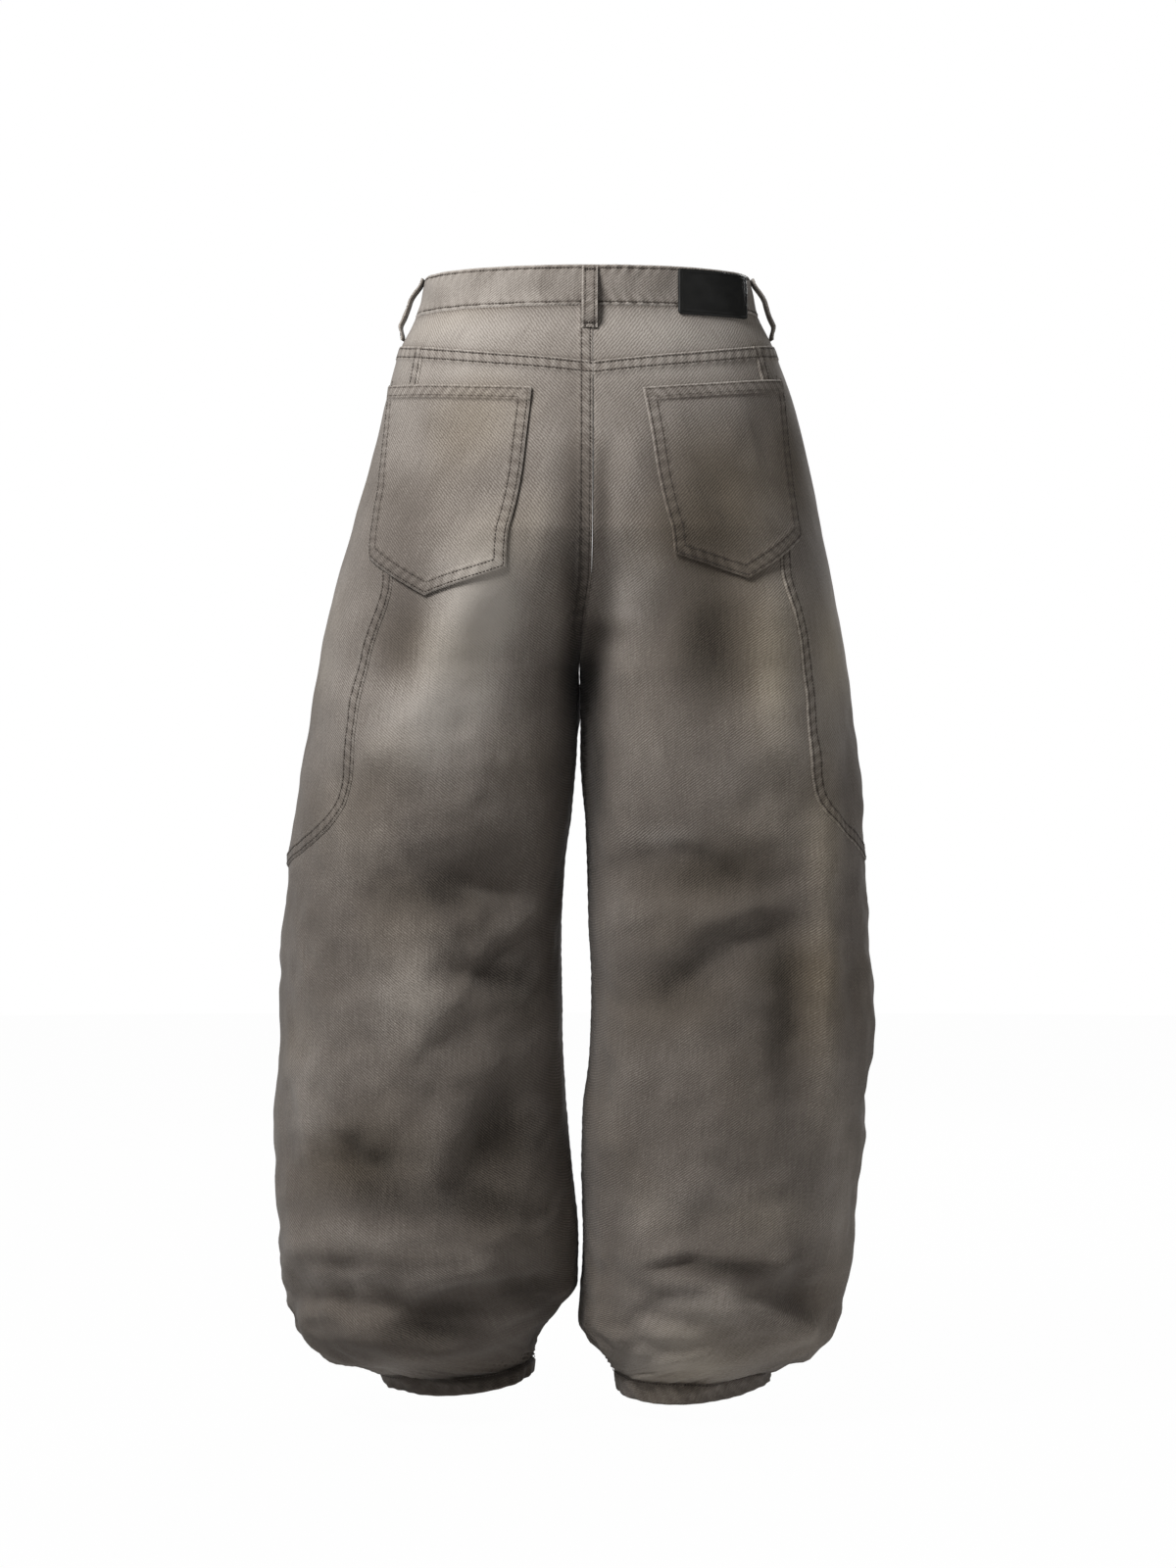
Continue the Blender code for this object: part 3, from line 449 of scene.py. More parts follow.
ROW_IN, ROW_FAR = 0.0026, 0.0100
STRIP_WIDE, STRIP_PROUD = 0.0116, 0.0011
STRIP_STEPS = (0.0, 0.0003, 0.0008, 0.0014, 0.0020, 0.0026, 0.0032, 0.0040, 0.0056, 0.0074, 0.0088)
STRIP_STEPS += (0.0094, 0.0100, 0.0106, 0.0112, 0.0120, 0.0132, 0.0150)
PLAIN_STEPS = (0.0, 0.0004, 0.0010, 0.0020, 0.0036)
UNDER_STEPS = (0.0, 0.0010, 0.0024)
HEM_STEPS = (0.0, 0.0005, 0.0012, 0.0022, 0.0040, 0.0070, 0.0100, 0.0116, 0.0130)
CLOTH_STEP = 0.0042

STITCH_LONG, STITCH_PITCH = 0.0025, 0.0033
STITCH_THICK = 0.00042

# Seeds of the ripples, so that pieces that meet at a seam ripple alike there.
INSEAM_SEED, HEM_SEED, OVERHANG_SEED = 61, 71, 75
YOKE_SEED, CENTRE_BACK_SEED, CENTRE_FRONT_SEED = 81, 91, 93
YOKE_END_SEED, BAND_SEAM_SEED, SIDE_PANEL_SEED = 95, 97, 99
BAND_SEED, POCKET_SEED = 101, 111

# Deep, body and pale shades of the wash.
DENIM_SHADES = [(0.030, 0.024, 0.019, 1.0), (0.165, 0.140, 0.120, 1.0), (0.50, 0.455, 0.41, 1.0)]
REVERSE_SHADES = [(0.05, 0.042, 0.036, 1.0), (0.22, 0.20, 0.18, 1.0), (0.42, 0.40, 0.37, 1.0)]
OLIVE_CAST = (0.99, 0.92, 0.74, 1.0)
THREAD_SHADES = [(0.018, 0.014, 0.011, 1.0), (0.075, 0.058, 0.046, 1.0)]
LEATHER_SHADES = [(0.004, 0.004, 0.004, 1.0), (0.022, 0.022, 0.019, 1.0)]
BRASS_SHADES = [(0.10, 0.085, 0.06, 1.0), (0.42, 0.36, 0.27, 1.0)]


# The surface of the cloth

def smooth_step(value):
    value = np.clip(value, 0.0, 1.0)
    return value * value * (3.0 - 2.0 * value)


def bell(distance, width):
    return np.exp(-((distance / width) ** 2))


def read_table(rows, key, column, places):
    """Smooth curve through one column of a table whose key rises or falls steadily."""
    keys = np.array([getattr(row, key) for row in rows])
    values = np.array([getattr(row, column) for row in rows])
    if keys[0] > keys[-1]:
        keys, values = keys[::-1], values[::-1]
    rise = np.diff(values) / np.diff(keys)
    total = rise[:-1] + rise[1:]
    steady = rise[:-1] * rise[1:] > 0.0
    turns = np.where(steady, 2.0 * rise[:-1] * rise[1:] / np.where(steady, total, 1.0), 0.0)
    slopes = np.concatenate(([rise[0]], turns, [rise[-1]]))
    places = np.clip(places, keys[0], keys[-1])
    i = np.clip(np.searchsorted(keys, places) - 1, 0, len(keys) - 2)
    gap = keys[i + 1] - keys[i]
    u = (places - keys[i]) / gap
    start = (1.0 + 2.0 * u) * (1.0 - u) ** 2 * values[i] + u * (1.0 - u) ** 2 * gap * slopes[i]
    end = u * u * (3.0 - 2.0 * u) * values[i + 1] + u * u * (u - 1.0) * gap * slopes[i + 1]
    return start + end


def leg_share(share, level):
    """0 where the cloth follows half of the hips, 1 where it follows a whole leg."""
    down = np.clip((SEAT_TOP - level) / (SEAT_TOP - CROTCH), 0.0, 1.0)
    inner = 1.0 - np.sqrt(1.0 - down * down)
    outer = smooth_step((THIGH_TOP - level) / (THIGH_TOP - THIGH_FULL))
    return outer + (inner - outer) * share**4


def plain_depth(share, level):
    leg = leg_share(share, level)
    hips = np.sin(np.abs(share) * math.pi / 2.0)
    return (1.0 - leg) * hips + leg * np.sin(np.abs(share) * math.pi)


DEPTH_LEVELS = np.linspace(-0.980, 0.030, 1011)
DEEPEST = plain_depth(np.linspace(0.3, 1.0, 57)[None, :], DEPTH_LEVELS[:, None]).max(axis=1)


def column(side, name, level):
    return read_table(SECTIONS[side], "level", name, level)


def middle(side, level):
    return side * read_table(MIDDLE, "level", "x", level)


def as_arrays(share, level):
    return np.broadcast_arrays(np.asarray(share, float), np.asarray(level, float))


def base_place(side, share, level):
    """The smooth body under the folds."""
    share, level = as_arrays(share, level)
    outer, inner = column(side, "outer", level), column(side, "inner", level)
    depth = np.where(share < 0.0, column(side, "back", level), -column(side, "front", level))
    centre = middle(side, level)
    around = share * math.pi
    hip_x = centre + (outer - centre) * np.cos(around / 2.0)
    leg_x = (outer + inner) / 2.0 + (outer - inner) / 2.0 * np.cos(around)
    leg = leg_share(share, level)
    x = hip_x * (1.0 - leg) + leg_x * leg
    y = plain_depth(share, level) * depth / np.interp(level, DEPTH_LEVELS, DEEPEST)
    lean, dip = column(side, "lean", level), column(side, "dip", level)
    z = level + lean / 2.0 * np.cos(around) - dip / 2.0 * np.sin(around)
    return np.stack((side * x, y, z), axis=-1)


def outward(side, share, level):
    """Unit normals of the smooth body, out of the garment."""
    reach, drop = 0.004, 0.0015
    across = base_place(side, np.minimum(1.0, share + reach), level)
    across = across - base_place(side, np.maximum(-1.0, share - reach), level)
    down = base_place(side, share, level - drop) - base_place(side, share, level + drop)
    normal = np.cross(across, down) * side
    return normal / np.linalg.norm(normal, axis=-1, keepdims=True)


SHARES = np.linspace(-1.0, 1.0, 161)
LEVELS = np.linspace(0.030, -0.975, 252)


def arc_tables(side):
    """How far each place is round from the outer side, and down from the top."""
    spots = base_place(side, SHARES[None, :], LEVELS[:, None])
    steps = np.linalg.norm(np.diff(spots, axis=1), axis=2)
    around = np.concatenate((np.zeros((len(LEVELS), 1)), np.cumsum(steps, axis=1)), axis=1)
    around -= around[:, len(SHARES) // 2][:, None]
    drops = np.linalg.norm(np.diff(spots, axis=0), axis=2)
    down = np.concatenate((np.zeros((1, len(SHARES))), np.cumsum(drops, axis=0)), axis=0)
    return around, down


ARCS = {side: arc_tables(side) for side in (LEFT, RIGHT)}


def read_grid(grid, share, level):
    """A value between the grid's shares and levels."""
    share, level = as_arrays(share, level)
    column_at = (np.clip(share, -1.0, 1.0) + 1.0) / 2.0 * (len(SHARES) - 1)
    row_at = np.clip((LEVELS[0] - level) / (LEVELS[0] - LEVELS[-1]), 0.0, 1.0) * (len(LEVELS) - 1)
    j = np.minimum(column_at.astype(int), len(SHARES) - 2)
    i = np.minimum(row_at.astype(int), len(LEVELS) - 2)
    u, v = column_at - j, row_at - i
    upper = grid[i, j] * (1.0 - u) + grid[i, j + 1] * u
    lower = grid[i + 1, j] * (1.0 - u) + grid[i + 1, j + 1] * u
    return upper * (1.0 - v) + lower * v


def arc_at(side, share, level):
    return read_grid(ARCS[side][0], share, level)


def drop_at(side, share, level):
    return read_grid(ARCS[side][1], share, level)


def flat_place(side, share, level):
    """Where places lie on the cloth laid flat: how far round and how far down."""
    return arc_at(side, share, level), drop_at(side, share, level)


def lengths_along(path):
    """How far along a path each of its points lies."""
    return np.concatenate(([0.0], np.cumsum(np.linalg.norm(np.diff(path, axis=0), axis=1))))


def share_of_arc(side, arc, level):
    """The shares that lie at given distances round from the outer side, at one level."""
    row = arc_at(side, SHARES, level)
    return np.interp(arc, row, SHARES)


def shares_along(side, arcs, levels):
    """The share for each pair of an arc and a level."""
    return np.array([share_of_arc(side, arc, level) for arc, level in zip(arcs, levels)])


# Folds, creases and wrinkles

def photo_place(px, py):
    """Where a pixel of the photograph meets the back of the jeans, as x and z."""
    shrink = 1.0 - 0.12 / CAMERA_AWAY
    x = (PHOTO_WIDE / 2 - px) * PIXEL * shrink
    z = CAMERA_LEVEL - (py - PHOTO_HIGH / 2) * PIXEL * shrink
    return x, z


def line_distance(x, z, start, end):
    """Distance from a line between two points, its strength there, which fades towards
    both ends, and whether the places lie on its right."""
    run_x, run_z = end[0] - start[0], end[1] - start[1]
    away_x, away_z = x - start[0], z - start[1]
    along = np.clip((away_x * run_x + away_z * run_z) / (run_x**2 + run_z**2), 0.0, 1.0)
    distance = np.hypot(away_x - run_x * along, away_z - run_z * along)
    strength = 1.0 - 0.7 * np.abs(2.0 * along - 1.0) ** 3
    return distance, strength, run_x * away_z - run_z * away_x > 0.0


def waves(u, v, size, seed):
    """Soft uneven waves of about one size, from about -1 to 1."""
    chance = np.random.default_rng(seed)
    total = np.zeros_like(u)
    for _ in range(10):
        angle, phase, bend = chance.uniform(0.0, math.tau, 3)
        scale = math.tau / size * chance.uniform(0.6, 1.5)
        along = u * math.cos(angle) + v * math.sin(angle)
        beside = v * math.cos(angle) - u * math.sin(angle)
        total += np.sin(along * scale + phase + 0.9 * np.sin(beside * scale * 0.6 + bend))
    return total / 3.2


def fold_height(side, share, level, spot):
    """How far folds, creases and wrinkles lift the cloth, out (+) or in (-)."""
    x, y, z = spot[..., 0], spot[..., 1], spot[..., 2]
    half = np.where(share < 0.0, column(side, "back", level), column(side, "front", level))
    facing = y / half
    height = np.zeros_like(x)
    for face in (BACK, FRONT):
        faced = facing * face > 0.0
        for x1, z1, x2, z2, width, depth in FOLDS[side, face]:
            distance, _, _ = line_distance(x, z, (x1 * side, z1), (x2 * side, z2))
            height += np.where(faced, depth * bell(distance, width), 0.0)
        for px1, py1, px2, py2, left, right, depth in CREASES[side, face]:
            distance, strength, over = line_distance(x, z, photo_place(px1, py1), photo_place(px2, py2))
            lift = depth * strength * bell(distance, np.where(over, right, left))
            height += np.where(faced, lift, 0.0)
    height *= np.minimum(1.0, 1.6 * np.abs(facing)) * (1.0 - share**8)
    return height + wrinkles(side, share, level) + crotch_fold(side, share, level)


def crotch_fold(side, share, level):
    """The slack of the left front, which fills the slit between the legs below the crotch."""
    if side == RIGHT:
        return np.zeros_like(share)
    return 0.0094 * bell(level + 0.364, 0.038) * bell(share - 0.885, 0.060)


def wrinkles(side, share, level):
    """Low, uneven waves all over, stronger down the legs and next to the hems."""
    u, v = flat_place(side, share, level)
    legs = smooth_step((-0.25 - level) / 0.35)
    low = smooth_step((-0.80 - level) / 0.10)
    seed = 11 if side == LEFT else 23
    height = 0.0012 * (0.35 + legs) * waves(u * 0.8, v, 0.085, seed)
    height += 0.00045 * (0.4 + legs) * waves(u, v, 0.034, seed + 1)
    height += 0.0012 * low * waves(u * 0.55, v, 0.030, seed + 2)
    return height * (1.0 - 0.8 * share**8)


def cloth_place(side, share, level, lift=0.0):
    """The outside of the cloth, folds included, lifted along its normals."""
    share, level = as_arrays(share, level)
    spot = base_place(side, share, level)
    height = fold_height(side, share, level, spot) + lift
    spot = spot + outward(side, share, level) * height[..., None]
    return keep_aside(side, share, level, spot)


def seam_line(level):
    """The x of the centre seams, midway between the inner edges of the two sides."""
    return (base_place(LEFT, -1.0, level)[..., 0] + base_place(RIGHT, -1.0, level)[..., 0]) / 2.0


def keep_aside(side, share, level, spot):
    """Above the crotch, cloth meets the centre seam with half a seam's gap and never crosses it."""
    above = level > CROTCH - 0.001
    nearest = side * seam_line(level) + SEAM_GAP / 2.0
    reach = np.maximum(side * spot[..., 0], nearest)
    reach = np.where(np.abs(share) > 0.9999, nearest, reach)
    moved = above & (np.abs(share) > 0.5)
    spot[..., 0] = np.where(moved, side * reach, spot[..., 0])
    return spot


def share_at(side, face, level, x):
    """The share on the back or front half where the cloth is x from the middle plane."""
    shares = -face * np.linspace(0.0, 1.0, 241)
    reach = side * cloth_place(side, shares, level)[..., 0]
    return float(np.interp(-x, -reach, shares))


# Seams

def yoke_seam(share):
    return read_table(YOKE_SEAM, "share", "level", share)


def side_edge(side, level, face):
    """The share of the side panel's back or front edge at a level."""
    level = np.asarray(level, float)
    raise_by = RIGHT_PANEL_RAISE * np.clip(-level / 0.3, 0.0, 1.0) if side == RIGHT else 0.0
    share = read_table(SIDE_PANEL_EDGE, "level", "share", level - raise_by)
    return share if face == BACK else -share * FRONT_EDGE_SHARE


def side_bottom(side):
    return SIDE_PANEL_BOTTOM + (RIGHT_PANEL_RAISE if side == RIGHT else 0.0)


def panel_outline(side, top_back, top_front):
    """The side panel's U, down its back edge and up its front edge, as arcs and levels."""
    low = side_bottom(side)
    down = 1.0 - np.cos(np.linspace(0.0, math.pi / 2.0, 90))
    back_levels = low + (top_back - low) * (1.0 - down / down[-1]) ** 1.5
    front_levels = low + (top_front - low) * np.linspace(0.0, 1.0, 90) ** 1.8
    back = arc_at(side, side_edge(side, back_levels, BACK), back_levels)
    front = arc_at(side, side_edge(side, front_levels, FRONT), front_levels)
    levels = np.concatenate((back_levels, front_levels))
    return np.column_stack((np.concatenate((back, front)), levels))


def path_distance(arcs, levels, path):
    """How far places lie from a path, and how far along it the nearest point is."""
    best = np.full(arcs.shape, 9.0)
    along = np.zeros(arcs.shape)
    travelled = 0.0
    for start, end in zip(path, path[1:]):
        run = end - start
        long = math.hypot(*run)
        if long < 0.000001:
            continue
        share = np.clip(((arcs - start[0]) * run[0] + (levels - start[1]) * run[1]) / long**2, 0.0, 1.0)
        distance = np.hypot(arcs - start[0] - run[0] * share, levels - start[1] - run[1] * share)
        nearer = distance < best
        best = np.where(nearer, distance, best)
        along = np.where(nearer, travelled + share * long, along)
        travelled += long
    return best, along


def puckers(along, beside, seed):
    """The small slanting ripples that sewing and washing leave beside a seam."""
    chance = np.random.default_rng(seed)
    phase, drift = chance.uniform(0.0, math.tau, 2)
    turn = 0.9 * np.sin(along * 61.0 + drift) + 0.6 * np.sin(along * 143.0 + phase)
    return np.sin((along + 0.5 * beside) * math.tau / 0.0105 + turn + phase)


def felled(distance, along, seed):
    """Relief of a lapped seam: a rounded edge, a raised strip and two sunk stitch rows."""
    edge = 1.0 - 0.75 * (1.0 - smooth_step(distance / 0.0014))
    end = 1.0 - smooth_step((distance - STRIP_WIDE) / 0.0020)
    grooves = bell(distance - ROW_IN, 0.0007) + bell(distance - ROW_FAR, 0.0007)
    between = smooth_step(distance / ROW_IN) * end
    height = STRIP_PROUD * edge * end - 0.00042 * grooves
    ripples = puckers(along, distance, seed)
    height += 0.00030 * ripples * between
    return height + 0.00022 * ripples * bell(distance - STRIP_WIDE, 0.009) * (1.0 - end)


def seam_wear(distance, along, seed):
    """Pale rubbed edge, darker stitch rows and mottled ridges of a lapped seam."""
    edge = 0.14 * bell(distance, 0.0011)
    rows = -0.12 * (bell(distance - ROW_IN, 0.0008) + bell(distance - ROW_FAR, 0.0008))
    strip = 1.0 - smooth_step((distance - STRIP_WIDE) / 0.0015)
    ripple = 0.07 * puckers(along, distance, seed) * strip - 0.03 * strip
    return edge + rows + ripple


def wash_and_shade_at(side, share, level, spot, height):
    """How pale the cloth is painted, 0 to 1, from the wash and from painted light and shade, and how much of
    an olive cast it has.
    """
    shrink = CAMERA_AWAY / (CAMERA_AWAY - spot[..., 1])
    px = PHOTO_WIDE / 2 - spot[..., 0] / PIXEL * shrink
    py = PHOTO_HIGH / 2 - (spot[..., 2] - CAMERA_LEVEL) / PIXEL * shrink
    # Paler at the top and darker down the legs: partly the wash, partly painted light for the light falling
    # off towards the hems.
    wash = 0.44 + 0.20 * smooth_step((level + 0.62) / 0.62)
    olive = np.zeros(px.shape)
    for middle_x, middle_y, wide, high, amount, cast in FADES_AND_PAINTED_SHADING[side]:
        near = np.exp(-(((px - middle_x) / wide) ** 2) - ((py - middle_y) / high) ** 2)
        wash += amount * near
        olive += cast * near
    u, v = flat_place(side, share, level)
    wash += 0.026 * waves(u, v, 0.11, 41 + side) + 0.010 * waves(u, v * 0.6, 0.045, 47 + side)
    # Paler on fold ridges and darker in fold hollows: partly wash rubbed off the ridges, partly painted shade
    # in the hollows.
    wash += np.clip(height, -0.010, 0.010) * 10.0
    return wash, np.clip(olive + 0.15 * waves(u, v, 0.16, 53 + side), 0.0, 1.0)


# Shells

def spaced(length, near_start, near_end, step=CLOTH_STEP, count=None):
    """Distances along a row: close together at its sewn ends, even between them."""
    shrink = min(1.0, 0.45 * length / max(near_start[-1], near_end[-1], 0.0001))
    start = np.array(near_start) * shrink
    end = length - np.array(near_end)[::-1] * shrink
    if count is None:
        count = max(1, round((end[0] - start[-1]) / step) - 1)
    return np.concatenate((start, np.linspace(start[-1], end[0], count + 2)[1:-1], end))


def rim_faces(rows, columns):
    """Faces between the borders of two grids of points, the second after the first."""
    border = [j for j in range(columns)]
    border += [i * columns + columns - 1 for i in range(1, rows)]
    border += [(rows - 1) * columns + j for j in range(columns - 2, -1, -1)]
    border += [i * columns for i in range(rows - 2, 0, -1)]
    border = np.array(border)
    following = np.roll(border, -1)
    below = rows * columns
    return np.column_stack((border, border + below, following + below, following))


def grid_faces(rows, columns, first=0):
    corner = (np.arange(rows - 1)[:, None] * columns + np.arange(columns - 1)[None, :]).ravel() + first
    return np.column_stack((corner, corner + 1, corner + columns + 1, corner + columns))


def signed_volume(points, faces):
    a, b, c, d = (points[faces[:, k]] for k in range(4))
    return float((np.cross(a, b) * c).sum() + (np.cross(a, c) * d).sum())


def add_object(name, data):
    thing = bpy.data.objects.new(name, data)
    bpy.context.scene.collection.objects.link(thing)
    return thing


def new_mesh(name, points, faces, materials, sides=None):
    mesh = bpy.data.meshes.new(name)
    mesh.vertices.add(len(points))
    mesh.vertices.foreach_set("co", np.ascontiguousarray(points, dtype=np.float32).ravel())
    mesh.loops.add(faces.size)
    mesh.loops.foreach_set("vertex_index", faces.ravel().astype(np.int32))
    mesh.polygons.add(len(faces))
    mesh.polygons.foreach_set("loop_start", np.arange(0, faces.size, faces.shape[1], dtype=np.int32))
    for material in materials:
        mesh.materials.append(material)
    if sides is not None:
        mesh.polygons.foreach_set("material_index", sides.astype(np.int32))
    mesh.update(calc_edges=True)
    mesh.validate()
    mesh.shade_smooth()
    return add_object(name, mesh)


def add_measure(thing, name, values, kind="FLOAT"):
    """A value on each point, for the materials to read."""
    attribute = thing.data.attributes.new(name, kind, "POINT")
    field = "value" if kind == "FLOAT" else "vector"
    attribute.data.foreach_set(field, np.ascontiguousarray(values, dtype=np.float32).ravel())


def shell(name, outside, inside, materials, places, wash, olive):
    """A thin closed wall between two grids of points, with what its materials read."""
    rows, columns = outside.shape[:2]
    points = np.concatenate((outside.reshape(-1, 3), inside.reshape(-1, 3)))
    front = grid_faces(rows, columns)
    back = grid_faces(rows, columns, rows * columns)[:, ::-1]
    faces = np.concatenate((front, back, rim_faces(rows, columns)))
    if signed_volume(points, faces) < 0.0:
        faces = faces[:, ::-1]
    sides = np.zeros(len(faces))
    sides[len(front) : len(front) + len(back)] = 1
    thing = new_mesh(name, points, faces, materials, sides)
    thing.data.set_sharp_from_angle(angle=1.1)
    flat = np.stack((places[0], places[1], np.zeros_like(places[0])), axis=-1).reshape(-1, 3)
    add_measure(thing, "cloth", np.concatenate((flat, flat)), "FLOAT_VECTOR")
    add_measure(thing, "wash", np.tile(wash.ravel(), 2))
    add_measure(thing, "olive", np.tile(olive.ravel(), 2))
    return thing


def dress(piece, node):
    """Hangs a cloth piece on the root and hides the imported part that it is cut from."""
    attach(piece, "root")
    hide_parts(node)


def cloth_thickness(side, level):
    seam, _ = HEM_LEVELS[side]
    return CLOTH + (HEM_CLOTH - CLOTH) * smooth_step((seam + 0.004 - level) / 0.006)


def body_levels(side, top, near_top):
    """Levels of a panel's rows, evenly spaced down the cloth, from its top to the hem."""
    _, hem = HEM_LEVELS[side]
    probe = np.linspace(top, hem, 600)
    drops = drop_at(side, -0.3, probe)
    drops = drops - drops[0]
    return np.interp(spaced(drops[-1], near_top, HEM_STEPS), drops, probe)


def hem_relief(side, level, along):
    """The turned hem: a stitch row, slanting ripples and a rounded edge."""
    seam, hem = HEM_LEVELS[side]
    deep = smooth_step((seam + 0.003 - level) / 0.005)
    height = 0.0004 * deep - 0.0022 * bell(level - seam - 0.0012, 0.0016)
    height += 0.0005 * puckers(along * 0.7, (level - hem) * 2.0, HEM_SEED + side) * deep
    gathers = puckers(along * 0.6, (seam - level) * 1.2, OVERHANG_SEED + side)
    height += 0.0011 * gathers * bell(level - seam - 0.006, 0.006)
    return height - 0.0009 * (1.0 - smooth_step((level - hem) / 0.0012))


def hem_wear_and_shade(side, level, along):
    """Painted shade under the overhanging cloth and over the turned hem band, and the paler worn ridges and
    edge of the hem.
    """
    seam, hem = HEM_LEVELS[side]
    deep = smooth_step((seam + 0.001 - level) / 0.003)
    shade = -0.30 * bell(level - seam - 0.0008, 0.0026) - 0.06 * deep
    ridges = 0.04 * puckers(along * 0.7, (level - hem) * 2.0, HEM_SEED + side) * deep
    return shade + 0.12 * bell(level - hem, 0.0016) + ridges


def below_yoke(row, level):
    """The levels of a row's shares: near the top they follow the slope of the yoke seam."""
    fade = smooth_step((level - YOKE_SLOPE_END) / YOKE_SLOPE_FADE)
    return level + (yoke_seam(row) - SEAM_GAP / 2.0 - YOKE_SEAM_MEAN) * fade


def panel_sink(side, arcs, levels, shares, face):
    """How far a panel lies in under the side panel that is sewn over it."""
    path = panel_outline(side, 0.0, 0.0)
    distance, _ = path_distance(arcs, levels, path)
    edge = side_edge(side, levels, face)
    inside = (levels > side_bottom(side)) & ((shares > edge) if face == BACK else (shares < edge))
    return -0.0024 * smooth_step((np.where(inside, distance, 0.0) - 0.0022) / 0.0042)


def build_back(side, materials):
    """From the centre back seam and the inseam to the outseam, under the side panel."""
    row_levels = body_levels(side, YOKE_SEAM_MEAN, STRIP_STEPS)
    widths = [-arc_at(side, -1.0, level) for level in row_levels]
    count = round((max(widths) - 0.02) / CLOTH_STEP)
    shares, levels = [], []
    for level, width in zip(row_levels, widths):
        arcs = spaced(width, STRIP_STEPS, UNDER_STEPS, count=count) - width
        row = share_of_arc(side, arcs, level)
        row[0], row[-1] = -1.0, 0.0
        shares.append(row)
        levels.append(below_yoke(row, level))
    share, level = np.array(shares), np.array(levels)
    arc, drop = flat_place(side, share, level)
    top_gap = yoke_seam(share) - level
    inner_gap = arc - arc_at(side, -1.0, level)
    lift = felled(top_gap, arc, YOKE_SEED + side)
    wear_and_shade = seam_wear(top_gap, arc, YOKE_SEED + side)
    rise = smooth_step((level - CROTCH - 0.02) / 0.02) if side == LEFT else 0.0
    lift = np.maximum(lift, felled(inner_gap, drop, CENTRE_BACK_SEED) * rise)
    lift = lift + (1.0 - rise) * inner_puckers(inner_gap, drop, side)
    wear_and_shade = wear_and_shade + seam_wear(inner_gap, drop, CENTRE_BACK_SEED) * rise
    lift = lift + hem_relief(side, level, arc) + panel_sink(side, arc, level, share, BACK)
    wear_and_shade = wear_and_shade + hem_wear_and_shade(side, level, arc)
    piece = cloth_shell("back_panel_" + SIDE_NAMES[side], side, share, level, lift, wear_and_shade, materials)
    dress(piece, "back_" + SIDE_NAMES[side])
    return piece


def inner_puckers(gap, along, side):
    """A plain seam: the cloth turns in at it and ripples beside it."""
    return 0.00028 * puckers(along, gap, INSEAM_SEED + side) * bell(gap, 0.010) - 0.0008 * bell(gap, 0.0016)


def build_front(side, materials):
    """From the outseam, under the side panel and the yoke, to the centre front and the inseam."""
    top = BAND_BOTTOM - SEAM_GAP
    row_levels = body_levels(side, top, PLAIN_STEPS)
    widths = [arc_at(side, 1.0, level) for level in row_levels]
    count = round((max(widths) - 0.02) / CLOTH_STEP)
    shares = []
    for level, width in zip(row_levels, widths):
        row = share_of_arc(side, spaced(width, UNDER_STEPS, STRIP_STEPS, count=count), level)
        row[0], row[-1] = 0.0, 1.0
        shares.append(row)
    share = np.array(shares)
    level = np.repeat(row_levels[:, None], share.shape[1], axis=1)
    arc, drop = flat_place(side, share, level)
    inner_gap = arc_at(side, 1.0, level) - arc
    rise = smooth_step((level - CROTCH - 0.02) / 0.02) if side == LEFT else 0.0
    lift = felled(inner_gap, drop, CENTRE_FRONT_SEED) * rise
    lift = lift + (1.0 - rise) * inner_puckers(inner_gap, drop, side)
    wear_and_shade = seam_wear(inner_gap, drop, CENTRE_FRONT_SEED) * rise
    lift = lift + hem_relief(side, level, arc) + panel_sink(side, arc, level, share, FRONT)
    wear_and_shade = wear_and_shade + hem_wear_and_shade(side, level, arc)
    piece = cloth_shell("front_panel_" + SIDE_NAMES[side], side, share, level, lift, wear_and_shade, materials)
    dress(piece, "front_" + SIDE_NAMES[side])
    return piece


def cloth_shell(name, side, share, level, lift, wear_and_shade, materials):
    """A panel of cloth with its relief, wash, painted shade and weave directions."""
    base = base_place(side, share, level)
    height = fold_height(side, share, level, base)
    outside = cloth_place(side, share, level, lift)
    inside = cloth_place(side, share, level, np.minimum(lift, 0.0) - cloth_thickness(side, level))
    wash, olive = wash_and_shade_at(side, share, level, base, height)
    places = flat_place(side, share, level)
    return shell(name, outside, inside, materials, places, wash + wear_and_shade, olive)


